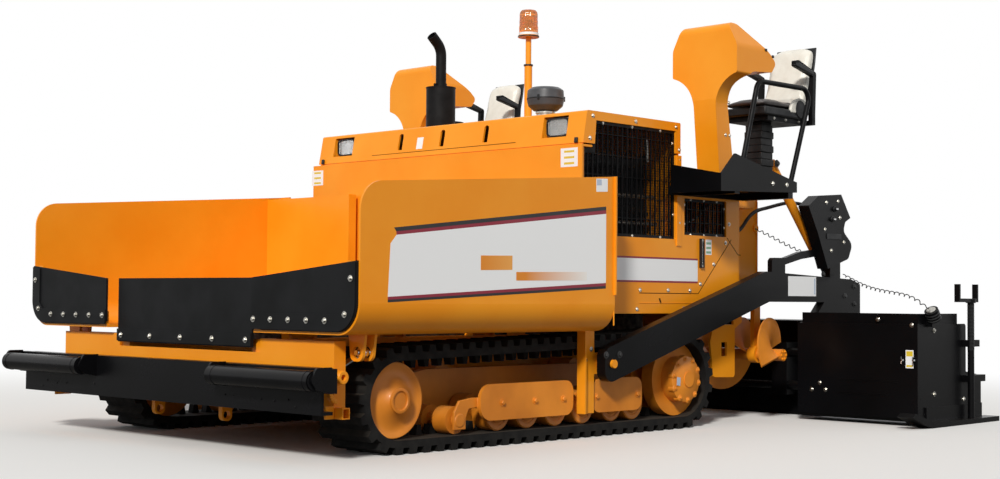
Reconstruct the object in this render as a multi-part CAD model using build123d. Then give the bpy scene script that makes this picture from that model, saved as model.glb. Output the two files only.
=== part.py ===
from build123d import *
from math import atan2, cos, pi, radians, sin, sqrt, tan
import os

os.makedirs("parts", exist_ok=True)

# Tracked asphalt paver, in millimetres. +X is forward, to the hopper; +Y is the machine's left; +Z is up.
# The layout is drawn with X = 0 at the front idler's axle, and moved at the end so that the origin is on
# the ground under the middle of the whole machine. Left-hand pieces are drawn and mirrored to the right.

# tracks
axle_spacing = 2339  # front idler to drive hub
track_y = 990  # middle of a belt
belt_width = 380
idler_loop_r = 270  # to the lugs' tips
drive_loop_r = 300
carcass = 38  # belt without lugs
tread_height = 34
tread_pitch = 96
guide_height = 52  # inner guide lugs
guide_width = 50
roller_r = 95
roller_gap = 40  # each side of the belt's middle, for the guide lugs
running_gap = 4  # wheel to belt
turn_out = -1  # the loop runs forward over the idler, so its left-hand side faces out
idler_axle_r = 44
motor_r = 120
wheel_face = 100  # width of each of a roller's two discs
frame_gap = 14  # rollers to the track frame beside them
small_roller_r = 72  # first roller, behind the idler
roller_table = (-433, -751, -983, -1215, -1447, -1703, -1897)  # x of each roller
beam_table = (  # front x, rear x of the bogie beams outside the rollers
    (-560, -1300),
    (-1452, -1915),
)
tube_table = (-650, -1750)  # x of the cross tubes from the track frames to the side beams
cross_tube_r = 55
cross_tube_z = 375

# chassis
beam_y = 600  # middle of a side beam
beam_width = 80
beam_bottom = 330
beam_top = 570
bumper_front = 461
bumper_depth = 72
bumper_half_width = 1214
bumper_top = 574
bumper_lip = 505  # under the middle flap
bumper_bottom = 215
eye_x = 423  # towing eyes under the bumper
eye_y = 305
eye_z = 172
eye_r = 22
eye_length = 30
plate = 12  # common sheet thickness
cross_members = (100, -700, -1500, -2300, -2900)
outriggers = (-1400, -2680)  # brackets over the belts, under the side sheets
rear_end = -2950  # rear face of the chassis

# hopper
hinge_y = 660
hinge_z = 600
hinge_r = 26
pin_r = 14
pin_clearance = 0.5
floor_z = 606
knuckles = (220, -400, -1100)  # x of the middle of each hinge knuckle
knuckle_length = 140
lug_thickness = 20
wing_front = 525
wing_rear = -1325
wing_half_width = 1469
wing_top_front = 1325
wing_top_rear = 1458
wing_bottom_r = 150
wing_corner_r = 140
back_x = -1200  # rear face of the wing's back plate
back_top = 1436
tunnel_half_width = 560
back_edge_y = tunnel_half_width  # the back plates end in line with the tunnel's sides
tunnel_top = 950
back_wall_foot = 990  # half widths of the wall behind the wings: at its foot, elbow and head
back_wall_elbow = 1140
back_wall_elbow_z = 1090
back_wall_head = 940
back_cap = 840
flap_thickness = 12
# lifting ram: x, and (y, z) of its foot behind the bumper and of the rod's eye under the wing
ram_x = 330
rod_pin_r = 12
eye_hole_r = 29  # slotted hole: leaves room for the rod's eye over the whole stroke
ram_foot = (740, 270)
rod_eye = (1270, 520)
ram_pin_r = 15
ram_barrel_r = 32
ram_rod_r = 16
ram_length = 350  # of the barrel
ram_stroke = 216

# push beam
push_face = 641
push_half_width = 1340
push_bottom = 236
push_top = 455
push_axis_x = 722
push_axis_z = 400
push_r = 48
push_inner = 600
push_outer = push_half_width + 45
push_pin_r = 16

# engine body
hood_front = -1365
body_half_width = 1190
side_y = 1172  # outer face of the side sheets
lower_hood_top = 1662
hood_seam = 12
upper_front_low = -1396
upper_front_top = -1432
upper_half_width = 1172
hood_top = 1863
hood_rear = -2310
deck_z = 1430
side_bottom = 700
lamp_y = 940
lamp_z = 1780
slot_spacing = 380
sheet = 12
mesh_low = 1150
mesh_top = 1810
mesh_front_low = -1405
mesh_front_high = -1500
mesh_rear = -2262
mesh_rim = 26
mesh_pitch = 45
side_rear = -2920
small_mesh = (-2352, -2790, 1180, 1405)  # front, rear, low, top

# on the cover
exhaust_x = -1700
exhaust_y = -310
silencer_r = 95
silencer_top = 2150
stack_r = 34
stack_bend_z = 2405
stack_reach = 86
stack_top = 2480
cleaner_x = -1700
cleaner_y = 608
cleaner_r = 114
cleaner_low = 1926
cleaner_top = 2066
cleaner_neck_r = 52
beacon_x = -2240
beacon_y = -35
pole_r = 26
pole_step_z = 2330
dome_r = 69
dome_low = 2530
dome_top = 2700

# operator's stations
station_y = 1305
platform_front = -2190
platform_rear = -3000
platform_outer = 1560
platform_inner = 1195
platform_z = 1470  # walking surface
pod_half_width = 240
pod_front = -2370
pod_nose = -2788
pod_low = 2150
pod_top = 2462
pod_crown = 9  # the side roundings end this far above the pod's flat top
stem_half_width = 82
seat_x = -3040
seat_z = 2035  # top of the cushion

# auger and rear frame
auger_x = -3220
auger_z = 430
auger_r = 240
auger_shaft_r = 38
auger_pitch = 330
auger_inner = 90
auger_outer = 1060
flight_thickness = 14
bearing_r = 56
tip_inner = auger_outer + 72  # outer length of each auger, beyond its bearing
tip_outer = tip_inner + 186
tip_turn = 200  # angle at which its flight starts

# screed
tow_x = -1500
tow_z = 419
tow_pin_r = 24
arm_inner = 1250
arm_thickness = 62
arm_outer = arm_inner + arm_thickness
arm_end = -4178
arm_slope = 0.291  # rise of the front part of the arm
arm_bend = (-3030, 967)  # x and top of the arm where its level part starts
arm_heel = (-4060, 930)  # x and top where the rear end falls
arm_low = 773  # underside of the level part
arm_foot_z = 700  # underside of the foot on the screed
# screed lifting ram: y, then (x, z) of its foot on the rear housing and of the rod's eye on the arm
lift_y = arm_inner - 50
lift_foot = (-3250, 1675)
lift_eye = (-4050, 823)
lift_pin_r = 20
lift_barrel_r = 31
lift_rod_r = 18
lift_length = 738  # of the barrel
lift_stroke = 285
screed_front = -3820
screed_rear = -4230
screed_half_width = 1220
screed_top = 650
ext_front = -3490
ext_inner = 1250
ext_outer = 2105
ext_top = 640
gate_front = -3540
gate_rear_top = -4125
gate_rear_low = -4335
ski_front = -3260
ski_rear = -4410
ski_width = 107
ski_outer = ext_outer + ski_width
jack_x = -4103
jack_y = ski_outer - 45
jack_top = 790
handle_x = (-3923, -4166)  # the two prongs of the jack's handle
handle_top = 896
clamp_table = ((-4225, 513), (-4305, 285))  # rear end and height of the jack's clamps
end_rail_top = 706  # rail along the board and the gate
end_rail_rear = -4028
sensor_at = (-3625, 2152, 700)  # middle of the grade sensor
sensor_lean = (0.6, 0, 0.8)  # direction of its axis
sensor_r = 44
sensor_half = 36
guide_y = (1040, 560)  # y of the blocks that hold the extensions' tubes
tube_r = 30
tube_x = {1: -3632, -1: -3722}  # left and right tubes pass each other
tube_z = (215, 435)
tube_inner = 455  # inner end of a tube, drawn out
walkway_rear = -4700
walkway_z = 300
walkway_half_width = screed_half_width - 70
rib_table = (-900, 0, 900)  # y of the ribs under the walkway

# cords on the left side: points of each route
curly_r = 13  # outside of a curly cable
hose_r = 12
screed_cable_route = (
    (-3350, 985, 1275),
    (-3400, 1065, 1225),
    (-3460, 1140, 1172),
    (-3520, 1205, 1128),
    (-3585, 1270, 1095),
)
sensor_cable_route = (
    (-3932, 1290, 985),
    (-3880, 1400, 937),
    (-3815, 1530, 893),
    (-3745, 1670, 860),
    (-3680, 1815, 841),
    (-3625, 1940, 828),
    (-3585, 2040, 804),
    (-3572, 2102, 772),
    (-3592, 2148, 732),
)
box_hose_route = (
    (-2950.3, 1120, 1218),
    (-2996, 1124, 1228),
    (-3036, 1130, 1262),
    (-3070, 1138, 1308),
    (-3120, 1146, 1350),
    (-3190, 1150, 1374),
    (-3290, 1151, 1392),
    (-3400, 1150, 1415),
    (-3500, 1149, 1433),
    (-3600, 1150, 1439),
    (-3680, 1156, 1434),
    (-3742, 1182, 1424),
    (-3786, 1226, 1412),
    (-3812, 1282, 1400),
)

made = {}


def block(x, y, z):
    """A box from three (low, high) pairs."""
    size = [abs(high - low) for low, high in (x, y, z)]
    middle = [(low + high) / 2 for low, high in (x, y, z)]
    return Pos(*middle) * Box(*size)


def rounded(points, corners=()):
    """A flat outline; corners gives (number of the point, radius)."""
    face = Polygon(*points, align=None)
    for number, radius in corners:
        near = Vector(*points[number], 0)
        corner = sorted(face.vertices(), key=lambda v: (Vector(*tuple(v)) - near).length)[0]
        face = fillet(corner, radius)
    return face


def along_y(outline, low, high):
    """An outline in (X, Z), swept from Y = low to Y = high."""
    placed = Plane(origin=(0, low, 0), x_dir=(1, 0, 0), z_dir=(0, -1, 0)) * outline
    return extrude(placed, high - low, dir=(0, 1, 0))


def along_x(outline, low, high):
    """An outline in (Y, Z), swept from X = low to X = high."""
    placed = Plane(origin=(low, 0, 0), x_dir=(0, 1, 0), z_dir=(1, 0, 0)) * outline
    return extrude(placed, high - low, dir=(1, 0, 0))


def along_z(outline, low, high):
    """An outline in (X, Y), swept from Z = low to Z = high."""
    return extrude(Pos(0, 0, low) * outline, high - low, dir=(0, 0, 1))


def rod(start, end, radius):
    """A round bar between two points."""
    start, end = Vector(*start), Vector(*end)
    length = (end - start).length
    return Plane(origin=start, z_dir=end - start) * Cylinder(
        radius, length, align=(Align.CENTER,) * 2 + (Align.MIN,)
    )


def disc_y(x, z, radius, low, high):
    return rod((x, low, z), (x, high, z), radius)


def disc_x(y, z, radius, low, high):
    return rod((low, y, z), (high, y, z), radius)


def tube(points, radius, bend):
    """A bent round bar with equal bends."""
    path = FilletPolyline(*points, radius=bend)
    start = Plane(origin=path @ 0, z_dir=path % 0)
    return sweep(start * Circle(radius), path=path)


def other_side(shape):
    return mirror(shape, about=Plane.XZ)


def keep(name, shape):
    made[name] = shape


def keep_pair(name, left):
    """One node for each side."""
    keep(name + "_left", left)
    keep(name + "_right", other_side(left))


def keep_both(name, left):
    """Both sides' pieces in one node."""
    keep(name, Compound(children=[*left.solids(), *other_side(left).solids()]))


def joined(pieces):
    whole = pieces[0]
    for piece in pieces[1:]:
        whole = whole + piece
    return whole


# ---------------------------------------------------------------- tracks


def loop_outline(front_r, rear_r):
    """The belt's run round both wheels, as a closed face."""
    span = axle_spacing
    front = (0, idler_loop_r)
    rear = (-span, drive_loop_r)
    rise = rear[1] - front[1]
    distance = sqrt(span**2 + rise**2)
    # angle of the upper tangent against the line of centres
    lean = atan2(rise, -span)
    offset = pi / 2 + atan2(sqrt(distance**2 - (rear_r - front_r) ** 2), rear_r - front_r) - pi / 2
    upper = lean - offset
    lower = lean + offset

    def on(centre, radius, angle):
        return centre[0] + radius * cos(angle), centre[1] + radius * sin(angle)

    top_front, top_rear = on(front, front_r, upper), on(rear, rear_r, upper)
    low_front, low_rear = on(front, front_r, lower), on(rear, rear_r, lower)
    nose = on(front, front_r, lean + pi)
    tail = on(rear, rear_r, lean)
    edges = [
        Line(top_rear, top_front),
        ThreePointArc(top_front, nose, low_front),
        Line(low_front, low_rear),
        ThreePointArc(low_rear, tail, top_rear),
    ]
    return make_face(Wire(edges)), edges


def loop_stations(front_r, rear_r, pitch):
    """Points and directions, evenly spaced round a loop."""
    _, edges = loop_outline(front_r, rear_r)
    wire = Wire(edges)
    count = round(wire.length / pitch)
    return [(wire @ (i / count), wire % (i / count)) for i in range(count)]


def lugs(front_r, rear_r, pitch, foot, tip, height, width, outward):
    """Trapezoid lugs standing on a loop, as one compound of solids."""
    pieces = []
    arc_drop = tip**2 / 8 / (front_r + height)  # keeps a flat tip's corners inside the wheel's circle
    for point, heading in loop_stations(front_r, rear_r, pitch):
        along = Vector(heading.X, heading.Y, 0)
        out = Vector(heading.Y, -heading.X, 0) * outward
        base = Vector(point.X, point.Y, 0)
        reach = height if abs(heading.Y) < 0.1 else height - arc_drop
        corners = [
            base - along * foot / 2 - out * 6,
            base + along * foot / 2 - out * 6,
            base + along * tip / 2 + out * reach,
            base - along * tip / 2 + out * reach,
        ]
        face = Polygon(*[(c.X, c.Y) for c in corners], align=None)
        pieces.append(along_y(face, track_y - width / 2, track_y + width / 2))
    return pieces


def track():
    """Rubber belt: carcass, cross bars outside and guide lugs inside, all fused."""
    front, rear = idler_loop_r - tread_height, drive_loop_r - tread_height
    outer, _ = loop_outline(front, rear)
    inner, _ = loop_outline(front - carcass, rear - carcass)
    belt = along_y(outer - inner, track_y - belt_width / 2, track_y + belt_width / 2)
    bars = lugs(front, rear, tread_pitch, 58, 40, tread_height, belt_width, turn_out)
    guides = lugs(front - carcass, rear - carcass, tread_pitch, 46, 26, guide_height, guide_width, -turn_out)
    return belt.fuse(*bars, *guides)


def wheel_pair(x, z, radius, hub_r, width):
    """Two discs on one hub, one each side of the guide lugs."""
    pieces = [disc_y(x, z, hub_r, track_y - roller_gap - width, track_y + roller_gap + width)]
    for side in (-1, 1):
        near, far = track_y + side * roller_gap, track_y + side * (roller_gap + width)
        pieces.append(disc_y(x, z, radius, min(near, far), max(near, far)))
    return joined(pieces)


wheel_base_front = idler_loop_r - tread_height - carcass - running_gap
wheel_base_rear = drive_loop_r - tread_height - carcass - running_gap
keep_pair("track", track())

idler = wheel_pair(0, idler_loop_r, wheel_base_front, 60, 95)
idler += disc_y(0, idler_loop_r, 55, track_y + roller_gap, track_y + 185)
idler += disc_y(0, idler_loop_r, idler_axle_r, track_y - 230, track_y)
keep_both("idler_wheels", idler)

drive = wheel_pair(-axle_spacing, drive_loop_r, wheel_base_rear, 90, 80)
drive += disc_y(-axle_spacing, drive_loop_r, 138, track_y + roller_gap, track_y + 205)
drive += disc_y(-axle_spacing, drive_loop_r, 46, track_y + 205, track_y + 232)
drive += disc_y(-axle_spacing, drive_loop_r, motor_r, track_y - 250, track_y - roller_gap)
keep_both("drive_hubs", drive)


def roller_size(x):
    """Radius of the roller at x and the height of its axle."""
    radius = small_roller_r if x == roller_table[0] else roller_r
    return radius, tread_height + carcass + running_gap + radius


rollers = []
for x in roller_table:
    radius, centre = roller_size(x)
    rollers.append(wheel_pair(x, centre, radius, 34, wheel_face))
keep_both("track_rollers", Compound(children=[s for r in rollers for s in r.solids()]))


def track_frame():
    """Frame inside the loop with its cross tubes, and the bogie beams outside the rollers."""
    inner_face = track_y - roller_gap - wheel_face - frame_gap
    side = rounded(
        [
            (-110, 200), (-110, 330), (-500, 400), (-1900, 400), (-2080, 340), (-2080, 210), (-1900, 130), (-330, 130),
        ]
    )
    back_face = inner_face - 56
    frame = along_y(side, back_face, inner_face)
    # fork of the idler's axle, and the ring that the drive motor sits in
    fork = rounded([(-130, 225), (60, 225), (60, 315), (-130, 315)], [(1, 40), (2, 40)])
    frame += along_y(fork, back_face, inner_face)
    frame += block((-axle_spacing, -2070), (back_face, inner_face), (220, 340))
    frame += disc_y(-axle_spacing, drive_loop_r, motor_r + 30, back_face, inner_face)
    frame -= disc_y(0, idler_loop_r, idler_axle_r + 0.3, back_face - 1, inner_face + 1)
    frame -= disc_y(-axle_spacing, drive_loop_r, motor_r + 0.3, back_face - 1, inner_face + 1)
    for x in tube_table:
        frame += disc_y(x, cross_tube_z, cross_tube_r, beam_y + beam_width / 2 + 0.3, inner_face - 30)
    near = track_y - roller_gap - wheel_face - 0.3
    for x in roller_table:
        frame += disc_y(x, roller_size(x)[1], 20, inner_face - 10, near)
    pieces = frame.solids()
    far = track_y + roller_gap + wheel_face + 0.3
    low, high = 138, 330
    for front, rear in beam_table:
        bar = rounded(
            [(front, low), (front, high), (rear, high), (rear, low)], [(0, 80), (1, 80), (2, 60), (3, 60)]
        )
        beam = along_y(bar, far + 40, far + 62)
        for x in roller_table:
            if rear - 20 < x < front + 20:
                beam += disc_y(x, roller_size(x)[1], 20, far, far + 41)
        pieces += beam.solids()
    return Compound(children=pieces)


keep_both("track_frames", track_frame())


# ---------------------------------------------------------------- chassis


def tow_point():
    """Post in front of the belt's last rollers, with the tow arm's pin."""
    near = side_y + 8
    post = block((outriggers[0] - 55, outriggers[0] + 55), (near + 20, near + 32), (140, side_bottom))
    post += block((outriggers[0] + 43, outriggers[0] + 55), (near, near + 60), (140, side_bottom - 95))
    post += block(
        (outriggers[0] - 55, outriggers[0] + 55), (near - 25, near + 32), (side_bottom - 60, side_bottom)
    )
    plate_out = rounded(
        [
            (outriggers[0] - 55, tow_z - 60), (outriggers[0] - 55, tow_z + 60), (tow_x - 60, tow_z + 60),
            (tow_x - 60, tow_z - 60)
        ],
        [(2, 50), (3, 50)]
    )
    post += along_y(plate_out, near + 10, near + 32)
    post += disc_y(tow_x, tow_z, tow_pin_r, near + 20, arm_outer + 16)
    return post


def main_frame():
    """Two box beams, cross members and the wings' hinge lugs."""
    inner, outer = beam_y - beam_width / 2, beam_y + beam_width / 2
    nose = bumper_front - plate - 0.3
    pieces = [block((rear_end, nose), (s * inner, s * outer), (beam_bottom, beam_top)) for s in (-1, 1)]
    for x in cross_members:
        pieces.append(block((x - 40, x + 40), (-inner, inner), (beam_bottom + 30, beam_top - 60)))
    # hinge lugs beside the wings' knuckles, each with its pin
    for x in knuckles:
        for s in (-1, 1):
            for side in (-1, 1):
                middle = x + side * (knuckle_length / 2 + 1 + lug_thickness / 2)
                lug = rounded(
                    [
                        (s * (outer - 20), beam_top - 1), (
                            s * (hinge_y + 24), beam_top - 1
                        ), (s * (hinge_y + 24), hinge_z + 4),
                        (s * (outer - 20), hinge_z + 4),
                    ]
                )
                pieces.append(along_x(lug, middle - lug_thickness / 2, middle + lug_thickness / 2))
            reach = knuckle_length / 2 + 1 + lug_thickness
            pieces.append(disc_x(s * hinge_y, hinge_z, pin_r, x - reach, x + reach))
    for s in (-1, 1):
        # outriggers under the side sheets, above the belts
        for x in outriggers:
            low, high = sorted((s * (outer - 5), s * (side_y - plate - 0.3)))
            pieces.append(block((x - 55, x + 55), (low, high), (beam_top + 56, side_bottom)))
            pieces.append(
                block(
                    (x - 55, x + 55), sorted((s * (outer - 5), s * (outer + 40))),
                    (beam_top - 40, side_bottom)
                )
            )
    pieces += [tow_point(), other_side(tow_point())]
    return joined(pieces)


def bumper():
    """Folded plate across the front, open behind, with the rams' foot pins and the towing eyes."""
    back = bumper_front - bumper_depth
    half, lip = bumper_half_width, beam_y + beam_width / 2
    face = rounded(
        [
            (-half, bumper_bottom), (half, bumper_bottom), (half, bumper_top), (lip, bumper_top),
            (lip, bumper_lip), (-lip, bumper_lip), (-lip, bumper_top), (-half, bumper_top),
        ]
    )
    inside = bumper_front - plate
    shell = along_x(face, back, bumper_front)
    shell -= block((back - 1, inside), (-half + plate, half - plate), (bumper_bottom - 1, bumper_lip - plate))
    for s in (-1, 1):
        # notches for the side beams
        near, far = s * (beam_y - beam_width / 2 - 0.3), s * (lip + 0.3)
        shell -= block((back - 1, inside), (near, far), (bumper_bottom, bumper_top + 1))
        shell += disc_x(s * ram_foot[0], ram_foot[1], ram_pin_r, ram_x - 30, inside + 1)
        shell += disc_x(s * ram_foot[0], ram_foot[1], 2 * ram_pin_r, ram_x + 36, inside + 1)
        low, high = s * eye_y - eye_length / 2, s * eye_y + eye_length / 2
        reach = bumper_front - plate / 2 - eye_x
        eye = rounded(
            [
                (eye_x - reach, eye_z - reach), (eye_x + reach, eye_z - reach), (
                    eye_x + reach, bumper_bottom + 150
                ),
                (eye_x - reach, bumper_bottom + 60),
            ],
            [(0, 28), (1, 28)],
        )
        shell += along_y(eye, low, high) - disc_y(eye_x, eye_z, eye_r, low - 1, high + 1)
    return shell


keep("main_frame", main_frame())
keep("bumper", bumper())


# ---------------------------------------------------------------- hopper


def wing():
    """Floor, rolled lower corner and outer wall in one sheet, with a back plate and a front flange."""
    outer, low = wing_half_width, floor_z
    section = rounded(
        [(hinge_y + 8, low), (outer, low), (outer, wing_top_rear), (hinge_y + 8, wing_top_rear)],
        [(1, wing_bottom_r)]
    )
    inner = rounded(
        [
            (hinge_y - 60, low + plate), (outer - plate, low + plate), (outer - plate, wing_top_rear + 60),
            (hinge_y - 60, wing_top_rear + 60)
        ],
        [(1, wing_bottom_r - plate)],
    )
    sheet = along_x(section, wing_rear, wing_front) - along_x(inner, wing_rear - 1, wing_front + 1)
    side = rounded(
        [
            (wing_rear, low - 1), (wing_front, low - 1), (wing_front, wing_top_front),
            (wing_rear, wing_top_rear)
        ],
        [(2, wing_corner_r)],
    )
    sheet = sheet & along_y(side, 0, outer + 1)
    back = rounded(
        [
            (hinge_y + 20, low + 2), (outer - plate / 2, low + 2), (outer - plate / 2, back_top),
            (back_edge_y, back_top), (back_edge_y, 800),
        ],
        [(1, wing_bottom_r - plate / 2)],
    )
    pieces = [sheet, along_x(back, back_x, back_x + plate)]
    # rolled stiffening edge of the back plate, and flange behind the flap's clamping strip
    pieces.append(block((back_x, back_x + 60), (back_edge_y, back_edge_y + plate), (800, back_top)))
    flange = rounded(
        [
            (hinge_y + 12, low), (outer, low), (outer, 955), (outer - 95, 955), (outer - 95, low + 90),
            (hinge_y + 12, low + 90)
        ],
        [(1, wing_bottom_r), (4, 60)],
    )
    pieces.append(along_x(flange, wing_front - plate, wing_front))
    # outer wall's top lip at the rear
    pieces.append(block((wing_rear, wing_rear + plate), (outer - 90, outer + 14), (low + 200, wing_top_rear)))
    for x in knuckles:
        pieces.append(disc_x(hinge_y, hinge_z, hinge_r, x - knuckle_length / 2, x + knuckle_length / 2))
        pieces.append(
            block(
                (x - knuckle_length / 2, x + knuckle_length / 2), (hinge_y, hinge_y + 60),
                (hinge_z - 4, low + 2)
            )
        )
    whole = joined(pieces)
    for x in knuckles:
        whole -= disc_x(hinge_y, hinge_z, pin_r + pin_clearance, x - knuckle_length, x + knuckle_length)
    # lugs for the lifting ram's rod
    for side in (-1, 1):
        middle = ram_x + side * 32
        ear = rounded(
            [
                (rod_eye[0] - 60, low + 2), (rod_eye[0] + 60, low + 2), (rod_eye[0] + 42, rod_eye[1] - 42),
                (rod_eye[0] - 42, rod_eye[1] - 42)
            ],
            [(2, 36), (3, 36)]
        )
        whole += along_x(ear, middle - 8, middle + 8) - disc_x(*rod_eye, eye_hole_r, middle - 9, middle + 9)
    return whole


def wing_flap():
    """Rubber flap with its bolted steel clamping strip."""
    outer, low = wing_half_width - 10, floor_z + 14
    flap = rounded(
        [(hinge_y + 4, low + 20), (hinge_y + 90, low), (outer, low), (outer, 955), (hinge_y + 4, 880)],
        [(2, wing_bottom_r - 12)],
    )
    strip = rounded(
        [
            (hinge_y + 4, low + 4), (outer - 4, low + 4), (outer - 4, 948), (outer - 84, 940), (
                outer - 84, low + 120
            ),
            (outer - 120, low + 84), (hinge_y + 4, low + 84),
        ],
        [(1, wing_bottom_r - 16)],
    )
    face = wing_front + 0.3
    return along_x(flap, face, face + flap_thickness), along_x(
        strip, face + flap_thickness, face + flap_thickness + 8
    )


keep_pair("wing", wing())
flap, strip = wing_flap()
keep_pair("wing_flap", flap + strip)

middle_flap = block(
    (480, 480 + flap_thickness), (-tunnel_half_width - 50, tunnel_half_width + 50), (529, 880)
)
middle_flap += block(
    (480 + flap_thickness, 500), (-tunnel_half_width - 50, tunnel_half_width + 50), (535, 600)
)
keep("middle_flap", middle_flap)

pan_front = 479.7  # just behind the middle flap
lip_inset = 44  # pan's lips inside the wings' hinges
lip_width = 10
wing_lap = 120  # lips run on behind the wings' front part
ridge_half = 70
ridge_top_half = 26
pan = block(
    (rear_end, pan_front), (-hinge_y + lip_inset, hinge_y - lip_inset), (beam_top + 0.3, beam_top + 10)
)
for s in (-1, 1):
    pan += block(
        (wing_rear + wing_lap, pan_front),
        (s * (hinge_y - lip_inset), s * (hinge_y - lip_inset - lip_width)), (beam_top + 0.3, floor_z + 20)
    )
    pan += block(
        (rear_end, wing_rear + wing_lap), (s * (tunnel_half_width + 14), s * (tunnel_half_width + 2)),
        (beam_top + 0.3, tunnel_top)
    )
pan += along_x(
    rounded(
        [
            (-ridge_half, beam_top + 5), (ridge_half, beam_top + 5), (ridge_top_half, floor_z + 70),
            (-ridge_top_half, floor_z + 70)
        ]
    ),
    rear_end, 440
)
keep("hopper_floor", pan)

# slat conveyors: chains along X with cross bars, one loop each side of the middle ridge
slat_pitch = 150
slat_z = beam_top + 10.3
chain_inset = 60  # outer chain inside the tunnel's side
chain_y = (110, tunnel_half_width - chain_inset)
bar_half = 16  # half of a cross bar's width
bar_clear = 15  # bars' ends to the ridge and to the tunnel's sides
conveyor_front = 400
slats = []
for y in chain_y:
    slats.append(block((rear_end + 30, conveyor_front), (y, y + 24), (slat_z, slat_z + 22)))
slat_count = int((conveyor_front - rear_end - 60) / slat_pitch)
for i in range(slat_count):
    x = conveyor_front - 40 - i * slat_pitch
    slats.append(
        block(
            (x - bar_half, x + bar_half), (ridge_half + bar_clear, tunnel_half_width - bar_clear),
            (slat_z + 6, slat_z + 30)
        )
    )
keep_both("slat_conveyors", joined(slats))

# fixed wall behind the wings' back plates; its corners stay inside the path of the wings' floors and walls
wall_foot_z = tunnel_top + 0.3
half_wall = rounded(
    [
        (0, wall_foot_z), (back_wall_foot, wall_foot_z), (
            back_wall_elbow, back_wall_elbow_z
        ), (back_wall_head, back_top),
        (0, back_top),
    ]
)
half_wall = along_x(half_wall, back_x - 44, back_x - 32)
half_wall += block((hood_front + 0.3, back_x - 44), (0, back_cap), (back_top - plate, back_top))
keep("hopper_back_wall", half_wall + other_side(half_wall))

# ---------------------------------------------------------------- lifting rams of the wings


def ram(foot, eye, across, barrel_r, rod_r, barrel_length, stroke, drawn_out, foot_pin_r):
    """Barrel and rod of a hydraulic ram; across is the pins' direction, drawn_out how far its rod is out."""
    foot, eye, across = Vector(*foot), Vector(*eye), Vector(*across)
    unit = (eye - foot).normalized()

    def pin_boss(at, radius, half):
        return rod(at - across * half, at + across * half, radius)

    end = foot + unit * barrel_length
    bore_start = foot + unit * (barrel_length - stroke - 70)
    barrel = rod(foot, end, barrel_r) + pin_boss(foot, barrel_r * 0.95, barrel_r * 0.7)
    barrel -= rod(bore_start, end + unit, rod_r + 7)
    barrel += rod(end - unit * 18, end, barrel_r) - rod(end - unit * 19, end + unit, rod_r + pin_clearance)
    barrel -= pin_boss(foot, foot_pin_r + pin_clearance, barrel_r)
    inner_end = foot + unit * (barrel_length - 55 - stroke + drawn_out)
    piston = rod(inner_end, eye, rod_r) + rod(inner_end, inner_end + unit * 25, rod_r + 6)
    piston += pin_boss(eye, rod_r * 1.5, 22)
    return barrel, piston


ram_sizes = (ram_barrel_r, ram_rod_r, ram_length, ram_stroke, 0, ram_pin_r)
barrel, piston = ram((ram_x, *ram_foot), (ram_x, *rod_eye), (1, 0, 0), *ram_sizes)
piston += disc_x(*rod_eye, rod_pin_r, ram_x - 44, ram_x + 44)
keep_pair("wing_ram_barrel", barrel)
keep_pair("wing_ram_rod", piston)

# ---------------------------------------------------------------- push beam
beam = block((push_face - 16, push_face), (-push_half_width, push_half_width), (push_bottom, push_top))
beam += block(
    (push_face - 70, push_face - 16), (-push_half_width, push_half_width), (push_top - 16, push_top)
)
beam += block(
    (push_face - 70, push_face - 16), (-push_half_width, push_half_width), (push_bottom, push_bottom + 16)
)
beam += block((bumper_front + 0.3, push_face - 16), (-200, 200), (push_bottom + 40, push_top - 30))
for s in (-1, 1):
    for y in (push_inner - 20, push_outer + 6):
        ear = rounded(
            [
                (push_face - 8, push_axis_z - 60), (push_axis_x, push_axis_z - 40),
                (push_axis_x + 34, push_axis_z), (push_axis_x, push_axis_z + 62),
                (push_face - 8, push_axis_z + 62)
            ],
            [(1, 20), (2, 25), (3, 25)],
        )
        beam += along_y(ear, min(s * y, s * (y + 14)), max(s * y, s * (y + 14)))
    beam += block(
        (push_face - 40, push_face), (s * push_half_width, s * (push_outer + 20)),
        (push_axis_z - 60, push_top)
    )
for s in (-1, 1):
    low, high = sorted((s * (push_inner - 20), s * (push_outer + 20)))
    beam += disc_y(push_axis_x, push_axis_z, push_pin_r, low, high)
keep("push_beam", beam)
roller = disc_y(push_axis_x, push_axis_z, push_r, push_inner, push_outer)
roller -= disc_y(push_axis_x, push_axis_z, push_pin_r + pin_clearance, push_inner - 1, push_outer + 1)
keep_pair("push_roller", roller)


# ---------------------------------------------------------------- engine body


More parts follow.
